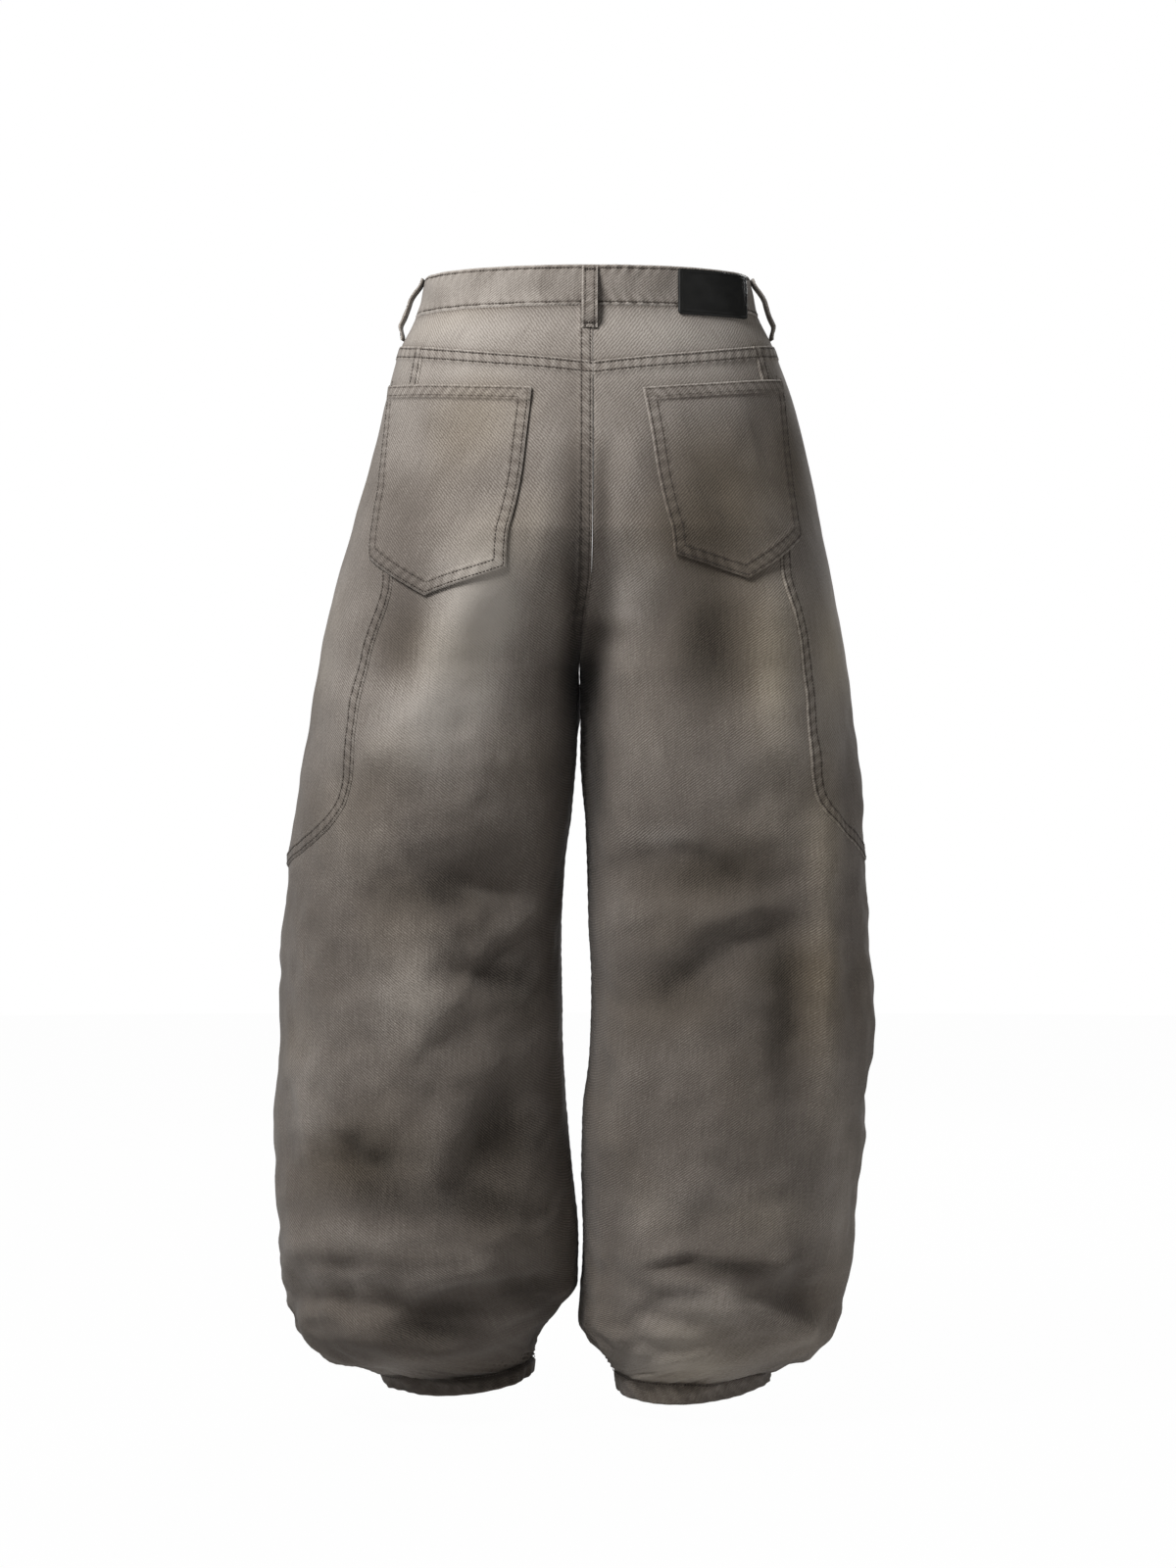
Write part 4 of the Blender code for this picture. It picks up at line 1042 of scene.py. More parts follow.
def build_yoke(side, materials):
    """From the centre back seam round the side to the front panel."""
    rise = spaced(1.0, (0.0, 0.03, 0.08), (0.0, 0.02, 0.06), count=7)
    top = BAND_BOTTOM - SEAM_GAP
    count = 96
    shares, levels = [], []
    for part in rise:
        level = top + (YOKE_SEAM_MEAN - top) * part
        end = arc_at(side, side_edge(side, level, FRONT), level)
        start = arc_at(side, -1.0, level)
        row = share_of_arc(side, spaced(end - start, STRIP_STEPS, STRIP_STEPS, count=count) + start, level)
        row[0] = -1.0
        shares.append(row)
        levels.append(top + (yoke_seam(row) + SEAM_GAP / 2.0 - top) * part)
    share, level = np.array(shares), np.array(levels)
    arc, drop = flat_place(side, share, level)
    start_gap = arc - arc_at(side, -1.0, level)
    end_gap = np.abs(arc_at(side, side_edge(side, level, FRONT), level) - arc)
    lift = felled(end_gap, drop, YOKE_END_SEED)
    wear_and_shade = seam_wear(end_gap, drop, YOKE_END_SEED)
    if side == LEFT:
        lift = np.maximum(lift, felled(start_gap, drop, CENTRE_BACK_SEED))
        wear_and_shade = wear_and_shade + seam_wear(start_gap, drop, CENTRE_BACK_SEED)
    below_band, above_seam = top - level, level - yoke_seam(share)
    lift = lift + 0.00025 * puckers(arc, below_band, BAND_SEAM_SEED + side) * bell(below_band, 0.008)
    lift = lift + 0.00022 * puckers(arc, above_seam, YOKE_SEED + side) * bell(above_seam, 0.007)
    # Painted shade under the waistband's lower edge and along the lapped edge at the yoke seam.
    wear_and_shade = wear_and_shade - 0.14 * bell(below_band, 0.0022) - 0.10 * bell(above_seam, 0.0018)
    piece = cloth_shell("yoke_shell_" + SIDE_NAMES[side], side, share, level, lift, wear_and_shade, materials)
    dress(piece, "yoke_" + SIDE_NAMES[side])
    return piece


def build_side_panel(side, materials):
    """The deep U-shaped panel, sewn over the outseam."""
    outline = panel_outline(side, YOKE_SEAM_MEAN, YOKE_SEAM_MEAN)
    back = outline[: len(outline) // 2]
    travelled = lengths_along(back)
    wanted = spaced(travelled[-1], STRIP_STEPS, (0.0, 0.0010), step=0.0028)
    row_levels = np.interp(wanted, travelled, back[:, 1])
    shares, levels = [], []
    for level in row_levels:
        start = arc_at(side, side_edge(side, level, BACK), level)
        end = arc_at(side, side_edge(side, level, FRONT), level)
        row = share_of_arc(side, spaced(end - start, STRIP_STEPS, STRIP_STEPS, count=36) + start, level)
        shares.append(row)
        levels.append(below_yoke(row, level))
    share, level = np.array(shares), np.array(levels)
    arc = arc_at(side, share, level)
    edge_gap, along = path_distance(arc, level, panel_outline(side, 0.0, 0.0))
    top_gap = yoke_seam(share) - level
    u_shape, top = (edge_gap, along, SIDE_PANEL_SEED + side), (top_gap, arc, YOKE_SEED + side)
    lift = np.maximum(felled(*u_shape), felled(*top)) + 0.0004
    wear_and_shade = seam_wear(*u_shape) + seam_wear(*top)
    piece = cloth_shell("side_shell_" + SIDE_NAMES[side], side, share, level, lift, wear_and_shade, materials)
    dress(piece, "side_panel_" + SIDE_NAMES[side])
    return piece


def band_share(way):
    """The side and share of a way along the waistband: way 0 is centre back, 2 and -2 are
    centre front."""
    side = LEFT if way > 0.0 else RIGHT
    if abs(way) > 2.0:
        return -side, 3.0 - abs(way)
    return side, abs(way) - 1.0


def band_point(way, level, lift):
    side, share = band_share(way)
    return cloth_place(side, np.full(level.shape, share), level, lift)


def build_waistband(materials):
    """One strip all round, whose left end laps over the right one at the front."""
    ways = np.linspace(OVER_END, UNDER_END, 400)
    line = np.array([band_point(way, np.array([0.0]), 0.0)[0] for way in ways])
    travelled = lengths_along(line)
    along = spaced(travelled[-1], PLAIN_STEPS, PLAIN_STEPS, step=0.0030)
    ways = np.interp(along, travelled, ways)
    near = (0.0, 0.0004, 0.0009, 0.0015, 0.0022, 0.0028, 0.0034, 0.0044)
    depth = spaced(BAND_TOP - BAND_BOTTOM, near, near, step=0.0022)
    level = BAND_TOP - depth
    edge_gap = np.minimum(depth, depth[::-1])
    outside, inside, wash = [], [], []
    for way, at in zip(ways, along):
        run = np.full(level.shape, at)
        under = smooth_step((UNDER_START - way) / (UNDER_START - UNDER_FULL))
        inset = (BAND_CLOTH + SEAM_GAP + 0.0010) * float(under)
        end_gap = min(at, travelled[-1] - at)
        rounding = 0.0010 * (1.0 - smooth_step(np.minimum(edge_gap, end_gap) / 0.0016))
        slack = 1.0 + 2.4 * bell(way + 0.13, 0.11)
        ripple = 0.00026 * slack * puckers(run, edge_gap, BAND_SEED) * bell(edge_gap, 0.010)
        ripple += 0.00035 * waves(run, depth, 0.030, 103)
        groove = 0.0004 * bell(edge_gap - BAND_ROW, 0.0007)
        lift = BAND_PROUD + ripple - groove - rounding - inset
        outside.append(band_point(way, level, lift))
        inside.append(band_point(way, level, BAND_PROUD - BAND_CLOTH + rounding - inset))
        paler = 0.10 if way > 0.2 else 0.0
        row = 0.62 + paler + 0.05 * waves(run, depth, 0.05, 105)
        # Paler top and lower edges: worn, and partly a painted highlight on the rolled edges.
        row += 0.20 * bell(depth[::-1] - 0.0006, 0.0012) + 0.16 * bell(depth, 0.0010)
        row -= 0.24 * bell(edge_gap - BAND_ROW, 0.0009)
        mottle = 0.10 * puckers(run, edge_gap, BAND_SEED) * bell(edge_gap, 0.008)
        wash.append(row + mottle * (0.5 + 0.5 * slack))
    outside, inside = np.swapaxes(np.array(outside), 0, 1), np.swapaxes(np.array(inside), 0, 1)
    wash = np.array(wash).T
    places = np.meshgrid(along, depth)
    piece = shell("waistband_shell", outside, inside, materials, places, wash, np.zeros_like(wash))
    dress(piece, "waistband")
    return piece


def polygon_gap(arcs, levels, corners):
    """Distance from a closed outline, and how far along it."""
    return path_distance(arcs, levels, np.array(corners + corners[:1]))


def pocket_corners(pocket):
    """The pocket's corners as shares and levels."""
    return [np.array((share_at(pocket.side, BACK, level, x), level)) for x, level in pocket[1:]]


def flat_corners(side, corners):
    return [np.array((float(arc_at(side, share, level)), level)) for share, level in corners]


def build_pocket(pocket, materials):
    """A patch pocket with a turned, twice-stitched edge and a hemmed mouth."""
    side = pocket.side
    corners = pocket_corners(pocket)
    top_in, top_out, low_in, tip, low_out = flat_corners(side, corners)
    tip_share = (tip[0] - low_in[0]) / (low_out[0] - low_in[0])
    tip_drop = tip[1] - (low_in[1] + (low_out[1] - low_in[1]) * tip_share)
    wide = abs(top_out[0] - top_in[0])
    high = abs(low_in[1] - top_in[1])
    across = spaced(wide, STRIP_STEPS, STRIP_STEPS, step=0.0026) / wide
    across[np.argmin(np.abs(across - tip_share))] = tip_share
    down = spaced(high, STRIP_STEPS, STRIP_STEPS, step=0.0026) / high
    u, v = np.meshgrid(across, down)
    tent = np.where(u < tip_share, u / tip_share, (1.0 - u) / (1.0 - tip_share))
    arc = (top_in[0] * (1 - u) + top_out[0] * u) * (1 - v) + (low_in[0] * (1 - u) + low_out[0] * u) * v
    low = low_in[1] * (1 - u) + low_out[1] * u + tip_drop * tent
    level = (top_in[1] * (1 - u) + top_out[1] * u) * (1 - v) + low * v
    share = np.array([shares_along(side, row, heights) for row, heights in zip(arc, level)])
    outline = [top_in, low_in, tip, low_out, top_out]
    gap, along = polygon_gap(arc, level, outline)
    mouth, _ = path_distance(arc, level, np.array([top_in, top_out]))
    drop = drop_at(side, share, level)
    edge = 1.0 - smooth_step(gap / 0.0014)
    lift = POCKET_LIFT + 0.4 * felled(gap, along, POCKET_SEED + side) - 0.0006 * edge
    lift = lift + 0.0007 * (1.0 - smooth_step((mouth - 0.0112) / 0.0020)) * smooth_step(mouth / 0.0010)
    swell = np.clip(waves(arc, level, 0.070, 113 + side), -0.9, 0.9)
    lift = lift + 0.0010 * swell * smooth_step((gap - 0.008) / 0.03)
    base = base_place(side, share, level)
    height = fold_height(side, share, level, base)
    outside = cloth_place(side, share, level, lift)
    inside = cloth_place(side, share, level, ON_SEAT + 0.0004 * edge - 0.0004)
    wash, olive = wash_and_shade_at(side, share, level, base, height)
    wear_and_shade = seam_wear(gap, along, POCKET_SEED + side)
    # Painted shade under the lower edge of the hemmed mouth.
    wear_and_shade = wear_and_shade - 0.10 * bell(mouth - 0.0125, 0.0012)
    name = "pocket_shell_" + SIDE_NAMES[side]
    piece = shell(name, outside, inside, materials, (arc, drop), wash + wear_and_shade, olive)
    dress(piece, "back_pocket_" + SIDE_NAMES[side])
    return piece


def loop_height(down, bulge):
    """Clear height under a belt loop, from its top end (0) to its bottom end (1)."""
    rise, fall = smooth_step(down / 0.42), smooth_step((1.0 - down) / 0.22)
    return LOOP_SEAT + (bulge - LOOP_SEAT) * rise * fall


def loop_frame(loop):
    """The loop's line down the band, its outward direction and its direction across."""
    level = LOOP_TOP - spaced(LOOP_TOP - LOOP_BOTTOM, PLAIN_STEPS, PLAIN_STEPS, step=0.0011)
    line = cloth_place(loop.side, np.full(level.shape, loop.share), level)
    normal = outward(loop.side, np.array(loop.share), np.array(-0.010))
    across = np.cross((0.0, 0.0, 1.0), normal)
    across = across / np.linalg.norm(across) + normal * LOOP_TWIST * loop.side * (loop.share == 0.0)
    return level, line, normal, across / np.linalg.norm(across)


def build_loop(loop, materials):
    """A folded strip with two stitch rows, standing off the band between its ends."""
    level, line, normal, across = loop_frame(loop)
    beside = spaced(LOOP_WIDTH, PLAIN_STEPS, PLAIN_STEPS, step=0.0007) - LOOP_WIDTH / 2.0
    down = (LOOP_TOP - level) / (LOOP_TOP - LOOP_BOTTOM)
    height = loop_height(down, loop.bulge)
    side_gap = LOOP_WIDTH / 2.0 - np.abs(beside)
    end_gap = np.minimum(LOOP_TOP - level, level - LOOP_BOTTOM)
    gap = np.minimum(side_gap[None, :], end_gap[:, None])
    rounding = 0.0005 * (1.0 - smooth_step(gap / 0.0012))
    groove = 0.0003 * bell(side_gap[None, :] - LOOP_ROW, 0.0006)
    u, v = np.meshgrid(beside, LOOP_TOP - level)
    swell = 0.00025 * waves(u, v, 0.012, 121 + len(loop.name))
    swell = swell - 0.0003 * bell(end_gap - 0.004, 0.001)[:, None]
    top = height[:, None] + LOOP_CLOTH - rounding - groove + swell
    under = height[:, None] + rounding
    spots = line[:, None, :] + across[None, None, :] * beside[None, :, None]
    outside = spots + normal * top[..., None]
    inside = spots + normal * under[..., None]
    wash = 0.60 + 0.26 * bell(side_gap, 0.0010)[None, :] - 0.22 * bell(side_gap[None, :] - LOOP_ROW, 0.0009)
    wash = wash + 0.06 * waves(u, v, 0.010, 131) + 0.18 * bell(level - LOOP_BOTTOM - 0.0015, 0.0010)[:, None]
    piece = shell(loop.name + "_strip", outside, inside, materials, (u, v), wash, np.zeros_like(wash))
    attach(piece, "root")
    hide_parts(loop.name)
    return piece


def build_patch(material):
    """A bare leather patch with rounded corners and an impressed line round its edge."""
    wide = PATCH_OUT - PATCH_IN
    high = PATCH_TOP - PATCH_BOTTOM
    fine = (0.0, 0.0002, 0.0006, 0.0012, 0.0020, 0.0026, 0.0032, 0.0040)
    depth = spaced(high, fine, fine, step=0.0012)
    along = spaced(wide, fine, fine, step=0.0012)
    u, v = np.meshgrid(along, depth)
    end = np.minimum(v, high - v)
    corner = np.clip(PATCH_CORNER - end, 0.0, PATCH_CORNER)
    shorter = PATCH_CORNER - np.sqrt(PATCH_CORNER**2 - corner**2)
    x = PATCH_IN + shorter + u * (wide - 2.0 * shorter) / wide
    level = PATCH_TOP - v
    share = np.empty_like(x)
    probe = np.linspace(-1.0, -0.2, 200)
    for i, row in enumerate(x):
        reach = -cloth_place(RIGHT, probe, np.full(probe.shape, level[i, 0]))[..., 0]
        share[i] = np.interp(row, reach, probe)
    gap = np.minimum(np.minimum(u, wide - u), end)
    crown = 0.0011 * (1.0 - smooth_step(gap / 0.0016))
    line = 0.00045 * bell(gap - 0.0026, 0.0005)
    dents = 0.00018 * waves(u, v, 0.020, 141)
    outside = cloth_place(RIGHT, share, level, BAND_PROUD + 0.0004 + LEATHER - crown - line + dents)
    inside = cloth_place(RIGHT, share, level, np.full(level.shape, BAND_PROUD + 0.0003))
    wash = 0.20 * bell(gap, 0.0010) + 0.05 * waves(u, v, 0.012, 143)
    piece = shell("leather_patch", outside, inside, [material, material], (u, v), wash, np.zeros_like(wash))
    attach(piece, "root")
    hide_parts("patch")
    return piece


def front_place(x, level):
    """The place on the front whose distance towards the wearer's left is x."""
    side = LEFT if x > seam_line(level) else RIGHT
    return side, share_at(side, FRONT, level, side * x)


def fly_width(level):
    down = np.clip((FLY_CURVE - level) / (FLY_CURVE - FLY_BOTTOM), 0.0, 1.0)
    return FLY_WIDTH * np.sqrt(1.0 - (0.98 * down) ** 2)


def build_fly(materials):
    """The fly flap, with a straight edge and a curved foot."""
    rows = spaced(FLY_TOP - FLY_BOTTOM, PLAIN_STEPS, PLAIN_STEPS, step=0.0028)
    levels = FLY_TOP - rows
    outside, inside, flat = [], [], []
    for level in levels:
        wide = float(fly_width(level))
        gaps = spaced(wide, PLAIN_STEPS, PLAIN_STEPS, count=12)
        edge_gap = np.minimum(np.minimum(gaps, wide - gaps), min(FLY_TOP - level, level - FLY_BOTTOM))
        rounding = 0.0006 * (1.0 - smooth_step(edge_gap / 0.0012))
        lift = 0.0020 + 0.0002 * puckers(np.full(gaps.shape, level), gaps, 151) - rounding
        row_out, row_in = [], []
        for gap, up, low in zip(gaps, lift, 0.0006 + rounding):
            side, share = front_place(FLY_EDGE + gap, level)
            row_out.append(cloth_place(side, share, level, up))
            row_in.append(cloth_place(side, share, level, low))
        outside.append(row_out)
        inside.append(row_in)
        flat.append(np.column_stack((gaps, np.full(gaps.shape, level), edge_gap)))
    flat = np.array(flat)
    wash = 0.5 + 0.22 * bell(flat[..., 2], 0.0012) + 0.05 * waves(flat[..., 0], flat[..., 1], 0.03, 153)
    places = flat[..., 0], flat[..., 1]
    outside, inside = np.array(outside), np.array(inside)
    piece = shell("fly_shell", outside, inside, materials, places, wash, np.zeros_like(wash))
    dress(piece, "fly_flap")
    return piece


def build_button(material):
    """A plain shank button with a raised rim, a recess and a low dome."""
    side, share = front_place(BUTTON_X, BUTTON_LEVEL)
    normal = outward(side, np.array(share), np.array(BUTTON_LEVEL))
    spot = cloth_place(side, share, BUTTON_LEVEL) + normal * (BAND_PROUD + SEAM_GAP)
    mesh = bmesh.new()
    points = [mesh.verts.new((r * BUTTON_RADIUS, 0.0, h * BUTTON_HEIGHT)) for r, h in BUTTON_PROFILE]
    edges = [mesh.edges.new(pair) for pair in zip(points, points[1:])]
    turn = {"cent": (0, 0, 0), "axis": (0, 0, 1), "angle": math.tau, "steps": 72, "use_merge": True}
    bmesh.ops.spin(mesh, geom=points + edges, **turn)
    bmesh.ops.remove_doubles(mesh, verts=mesh.verts[:], dist=0.00001)
    bmesh.ops.recalc_face_normals(mesh, faces=mesh.faces[:])
    matrix = Vector(normal).to_track_quat("Z", "Y").to_matrix().to_4x4()
    matrix.translation = Vector(spot)
    mesh.transform(matrix)
    data = bpy.data.meshes.new("shank_button")
    mesh.to_mesh(data)
    mesh.free()
    data.shade_smooth()
    data.materials.append(material)
    button = add_object("shank_button", data)
    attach(button, "root")
    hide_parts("button")
    return button


# Stitches

def sew(name, rows, material, pitch=STITCH_PITCH, long=STITCH_LONG):
    """Raised thread stitches, evenly along rows of points and outward directions."""
    stations = np.array((0.0, 0.22, 0.78, 1.0))
    rises = np.array((-0.00020, 0.00014, 0.00014, -0.00020))
    thick = (np.array((0.45, 1.0, 1.0, 0.45)) * STITCH_THICK)[:, None, None]
    around = np.array((0.0, 1.0, 2.0, 3.0)) * math.pi / 2.0
    across, up = np.cos(around)[:, None], (np.sin(around) * 0.8)[:, None]
    rings = []
    for line, normals in rows:
        travelled = lengths_along(line)
        starts = np.arange(pitch * 0.3, travelled[-1] - long, pitch)
        if not len(starts):
            continue
        at = starts[:, None] + stations[None, :] * long
        spot = np.stack([np.interp(at, travelled, line[:, k]) for k in range(3)], axis=-1)
        out = np.stack([np.interp(at, travelled, normals[:, k]) for k in range(3)], axis=-1)
        out /= np.linalg.norm(out, axis=-1, keepdims=True)
        run = spot[:, -1:, :] - spot[:, :1, :]
        beside = np.cross(out, np.broadcast_to(run, spot.shape))
        beside /= np.linalg.norm(beside, axis=-1, keepdims=True)
        centre = spot + out * rises[:, None]
        ring = centre[:, :, None] + beside[:, :, None] * across * thick
        ring = ring + out[:, :, None] * up * thick
        rings.append(ring.reshape(-1, 3))
    points = np.concatenate(rings)
    corners = len(stations) * len(around)
    sides = []
    for low in (0, 4, 8):
        for k in range(4):
            beyond = (k + 1) % 4
            sides.append((low + k, low + beyond, low + 4 + beyond, low + 4 + k))
    sides += [(3, 2, 1, 0), (12, 13, 14, 15)]
    firsts = np.arange(0, len(points), corners)[:, None, None]
    faces = (firsts + np.array(sides)[None, :, :]).reshape(-1, 4)
    if signed_volume(points - points.mean(axis=0), faces) < 0.0:
        faces = faces[:, ::-1]
    piece = new_mesh(name, points, faces, [material])
    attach(piece, "root")
    return piece


def row_on(side, share, level, lift):
    """A stitch row along places on the cloth."""
    share, level = as_arrays(share, level)
    return cloth_place(side, share, level, lift), outward(side, share, level)


def offset_path(path, distance, turn):
    """A path moved to its own left (turn 1) or right (turn -1), as arcs and levels."""
    runs = np.gradient(path, axis=0)
    runs /= np.linalg.norm(runs, axis=1, keepdims=True)
    return path + np.column_stack((-runs[:, 1], runs[:, 0])) * distance * turn


def dense(path, step=0.002):
    """The same path with points at even steps."""
    path = np.array(path)
    travelled = lengths_along(path)
    wanted = np.linspace(0.0, travelled[-1], max(2, round(travelled[-1] / step)))
    return np.column_stack([np.interp(wanted, travelled, path[:, k]) for k in range(2)])


def path_row(side, path, lift):
    share = shares_along(side, path[:, 0], path[:, 1])
    return row_on(side, share, path[:, 1], lift)


def stitch_yoke(side, thread):
    """Two rows below the yoke seam."""
    rows = []
    share = np.linspace(-1.0, float(side_edge(side, -0.045, FRONT)), 200)
    for gap in (ROW_IN, ROW_FAR):
        rows.append(row_on(side, share, yoke_seam(share) - gap, STRIP_PROUD + 0.0002))
    return sew("yoke_stitches_" + SIDE_NAMES[side], rows, thread)


def stitch_centre_back(thread):
    rows = []
    level = np.linspace(BAND_BOTTOM - 0.001, -0.305, 260)
    start = arc_at(LEFT, -1.0, level)
    for gap in (ROW_IN, ROW_FAR):
        share = shares_along(LEFT, start + gap, level)
        rows.append(row_on(LEFT, share, level, STRIP_PROUD - 0.0002))
    return sew("centre_back_stitches", rows, thread)


def stitch_side_panel(side, thread):
    """Two rows inside the side panel's U, and on up the yoke's front end."""
    rows = []
    top = float(yoke_seam(-0.34)) - 0.001
    outline = dense(panel_outline(side, top, BAND_BOTTOM - 0.001))
    for gap in (ROW_IN, ROW_FAR):
        rows.append(path_row(side, offset_path(outline, gap, 1), STRIP_PROUD + 0.0003))
    return sew("side_stitches_" + SIDE_NAMES[side], rows, thread)


def inset_polygon(corners, distance):
    """The open outline from the first corner to the last, moved in towards its middle."""
    middle_spot = np.mean(corners, axis=0)
    lines = []
    for start, end in zip(corners, corners[1:]):
        run = (end - start) / math.hypot(*(end - start))
        normal = np.array((-run[1], run[0]))
        if np.dot(middle_spot - start, normal) < 0.0:
            normal = -normal
        lines.append((start + normal * distance, run))
    spots = [lines[0][0]]
    for (a, run_a), (b, run_b) in zip(lines, lines[1:]):
        reach = np.linalg.solve(np.column_stack((run_a, -run_b)), b - a)
        spots.append(a + run_a * reach[0])
    last, run = lines[-1]
    spots.append(last + run * np.dot(corners[-1] - last, run))
    return np.array(spots)


def stitch_pocket(pocket, thread):
    """Two rows round the sides and foot, and two rows across the mouth."""
    side = pocket.side
    corners = flat_corners(side, pocket_corners(pocket))
    top_in, top_out, low_in, tip, low_out = corners
    rows = []
    lift = POCKET_LIFT + 0.0004
    for gap in (ROW_IN, ROW_FAR):
        path = inset_polygon([top_in, low_in, tip, low_out, top_out], gap)
        rows.append(path_row(side, dense(path), lift + (0.0 if gap == ROW_IN else -0.0001)))
        down = gap / POCKET_FLAT_HEIGHT
        mouth = [top_in + (low_in - top_in) * down, top_out + (low_out - top_out) * down]
        rows.append(path_row(side, dense(mouth), lift + 0.0004))
    return sew("pocket_stitches_" + SIDE_NAMES[side], rows, thread)


def stitch_hem(side, thread):
    seam, _ = HEM_LEVELS[side]
    rows = [row_on(side, np.linspace(-0.999, 0.999, 300), np.full(300, seam + 0.001), 0.0)]
    return sew("hem_stitches_" + SIDE_NAMES[side], rows, thread)


def stitch_band(thread):
    """One row along the band's top and one along its lower edge."""
    rows = []
    for level in (BAND_TOP - BAND_ROW, BAND_BOTTOM + BAND_ROW):
        line, normals = [], []
        for way in np.linspace(OVER_END - 0.01, UNDER_START, 420):
            side, share = band_share(way)
            line.append(band_point(way, np.array([level]), BAND_PROUD - 0.0002)[0])
            normals.append(outward(side, np.array(share), np.array(level)))
        rows.append((np.array(line), np.array(normals)))
    return sew("band_stitches", rows, thread)


def stitch_loops(thread):
    """Two rows down each loop, and a close bar of stitches across both of its ends."""
    rows = []
    bars = []
    for loop in LOOPS:
        level, line, normal, across = loop_frame(loop)
        down = (LOOP_TOP - level) / (LOOP_TOP - LOOP_BOTTOM)
        top = line + normal * (loop_height(down, loop.bulge) + LOOP_CLOTH - 0.0001)[:, None]
        normals = np.repeat(normal[None, :], len(level), axis=0)
        for beside in (-1.0, 1.0):
            rows.append((top + across * beside * (LOOP_WIDTH / 2.0 - LOOP_ROW), normals))
        for end in (BAND_TOP - 0.0045, LOOP_BOTTOM + 0.0040):
            i = int(np.argmin(np.abs(level - end)))
            for step in np.linspace(-0.0006, 0.0006, 4):
                spots = top[i] + np.linspace(-1.0, 1.0, 12)[:, None] * across * (LOOP_WIDTH / 2.0 - 0.001)
                bars.append((spots + np.array((0.0, 0.0, step)), np.repeat(normal[None, :], 12, axis=0)))
    sew("loop_stitches", rows, thread)
    sew("loop_bar_stitches", bars, thread, pitch=0.0021, long=0.0019)


def stitch_front(thread):
    """The curved double row of the fly, and the buttonhole's close stitches."""
    rows = []
    for gap in (ROW_IN, ROW_FAR - 0.003):
        line, normals = [], []
        for level in np.linspace(FLY_TOP - 0.002, FLY_BOTTOM + gap + 0.002, 120):
            side, share = front_place(FLY_EDGE + max(0.002, float(fly_width(level - gap * 0.4)) - gap), level)
            line.append(cloth_place(side, share, level, 0.0020))
            normals.append(outward(side, np.array(share), np.array(level)))
        rows.append((np.array(line), np.array(normals)))
    sew("fly_stitches", rows, thread)
    hole = []
    for angle in np.linspace(0.0, math.tau, 46):
        ends = []
        for reach in (0.6, 1.0):
            x = BUTTON_X + HOLE_X + HOLE_LONG * reach * math.cos(angle)
            level = BUTTON_LEVEL + HOLE_HIGH * reach * math.sin(angle)
            side, share = front_place(x, level)
            ends.append(cloth_place(side, share, level, BAND_PROUD + 0.0002))
        normal = outward(side, np.array(share), np.array(level))
        hole.append((np.array(ends), np.array((normal, normal))))
    lengths = [np.linalg.norm(line[1] - line[0]) for line, _ in hole]
    sew("buttonhole_stitches", hole, thread, pitch=min(lengths), long=0.6 * min(lengths))


# Materials

def new_group(name, inputs, outputs):
    group = bpy.data.node_groups.new(name, "ShaderNodeTree")
    for socket, kind, value in inputs:
        item = group.interface.new_socket(socket, in_out="INPUT", socket_type=kind)
        if value is not None:
            item.default_value = value
    for socket, kind in outputs:
        group.interface.new_socket(socket, in_out="OUTPUT", socket_type=kind)
    return group, group.nodes.new("NodeGroupInput"), group.nodes.new("NodeGroupOutput")


def feed(tree, socket, value):
    """Links another node's output to a socket, or sets the socket to a constant."""
    if hasattr(value, "is_output"):
        tree.links.new(value, socket)
    else:
        socket.default_value = value


def math_node(tree, operation, first, second=None, third=None):
    node = tree.nodes.new("ShaderNodeMath")
    node.operation = operation
    for socket, value in zip(node.inputs, (first, second, third)):
        if value is not None:
            feed(tree, socket, value)
    return node.outputs[0]


def noise_node(tree, vector, scale, detail=2.0):
    node = tree.nodes.new("ShaderNodeTexNoise")
    node.inputs["Scale"].default_value = scale
    node.inputs["Detail"].default_value = detail
    tree.links.new(vector, node.inputs["Vector"])
    return node.outputs["Fac"]


def stretched_noise(tree, vector, scale, detail=2.0):
    """Noise with its own scale in each direction."""
    node = tree.nodes.new("ShaderNodeVectorMath")
    node.operation = "MULTIPLY"
    tree.links.new(vector, node.inputs[0])
    node.inputs[1].default_value = scale
    return noise_node(tree, node.outputs[0], 1.0, detail)


def twill_group():
    """Diagonal twill lines, broken into yarns, from places on the cloth in metres."""
    inputs = [("Place", "NodeSocketVector", None), ("Lines per metre", "NodeSocketFloat", 520.0)]
    outputs = [("Weave", "NodeSocketFloat"), ("Slub", "NodeSocketFloat")]
    group, given, out = new_group("twill weave", inputs, outputs)
    place = given.outputs["Place"]
    direction = group.nodes.new("ShaderNodeVectorMath")
    direction.operation = "DOT_PRODUCT"
    direction.inputs[1].default_value = (0.60, 0.80, 0.0)
    group.links.new(place, direction.inputs[0])
    waver = stretched_noise(group, place, (260.0, 260.0, 1.0))
    phase = math_node(group, "MULTIPLY", direction.outputs["Value"], given.outputs["Lines per metre"])
    phase = math_node(group, "MULTIPLY_ADD", waver, 0.9, phase)
    phase = math_node(group, "MULTIPLY", phase, math.tau)
    line = math_node(group, "MULTIPLY_ADD", math_node(group, "SINE", phase), 0.5, 0.5)
    yarn = stretched_noise(group, place, (1500.0, 420.0, 1.0), 3.0)
    slub = stretched_noise(group, place, (640.0, 34.0, 1.0), 3.0)
    broken = math_node(group, "MULTIPLY", line, math_node(group, "MULTIPLY_ADD", yarn, 1.3, 0.25))
    group.links.new(broken, out.inputs["Weave"])
    group.links.new(slub, out.inputs["Slub"])
    return group


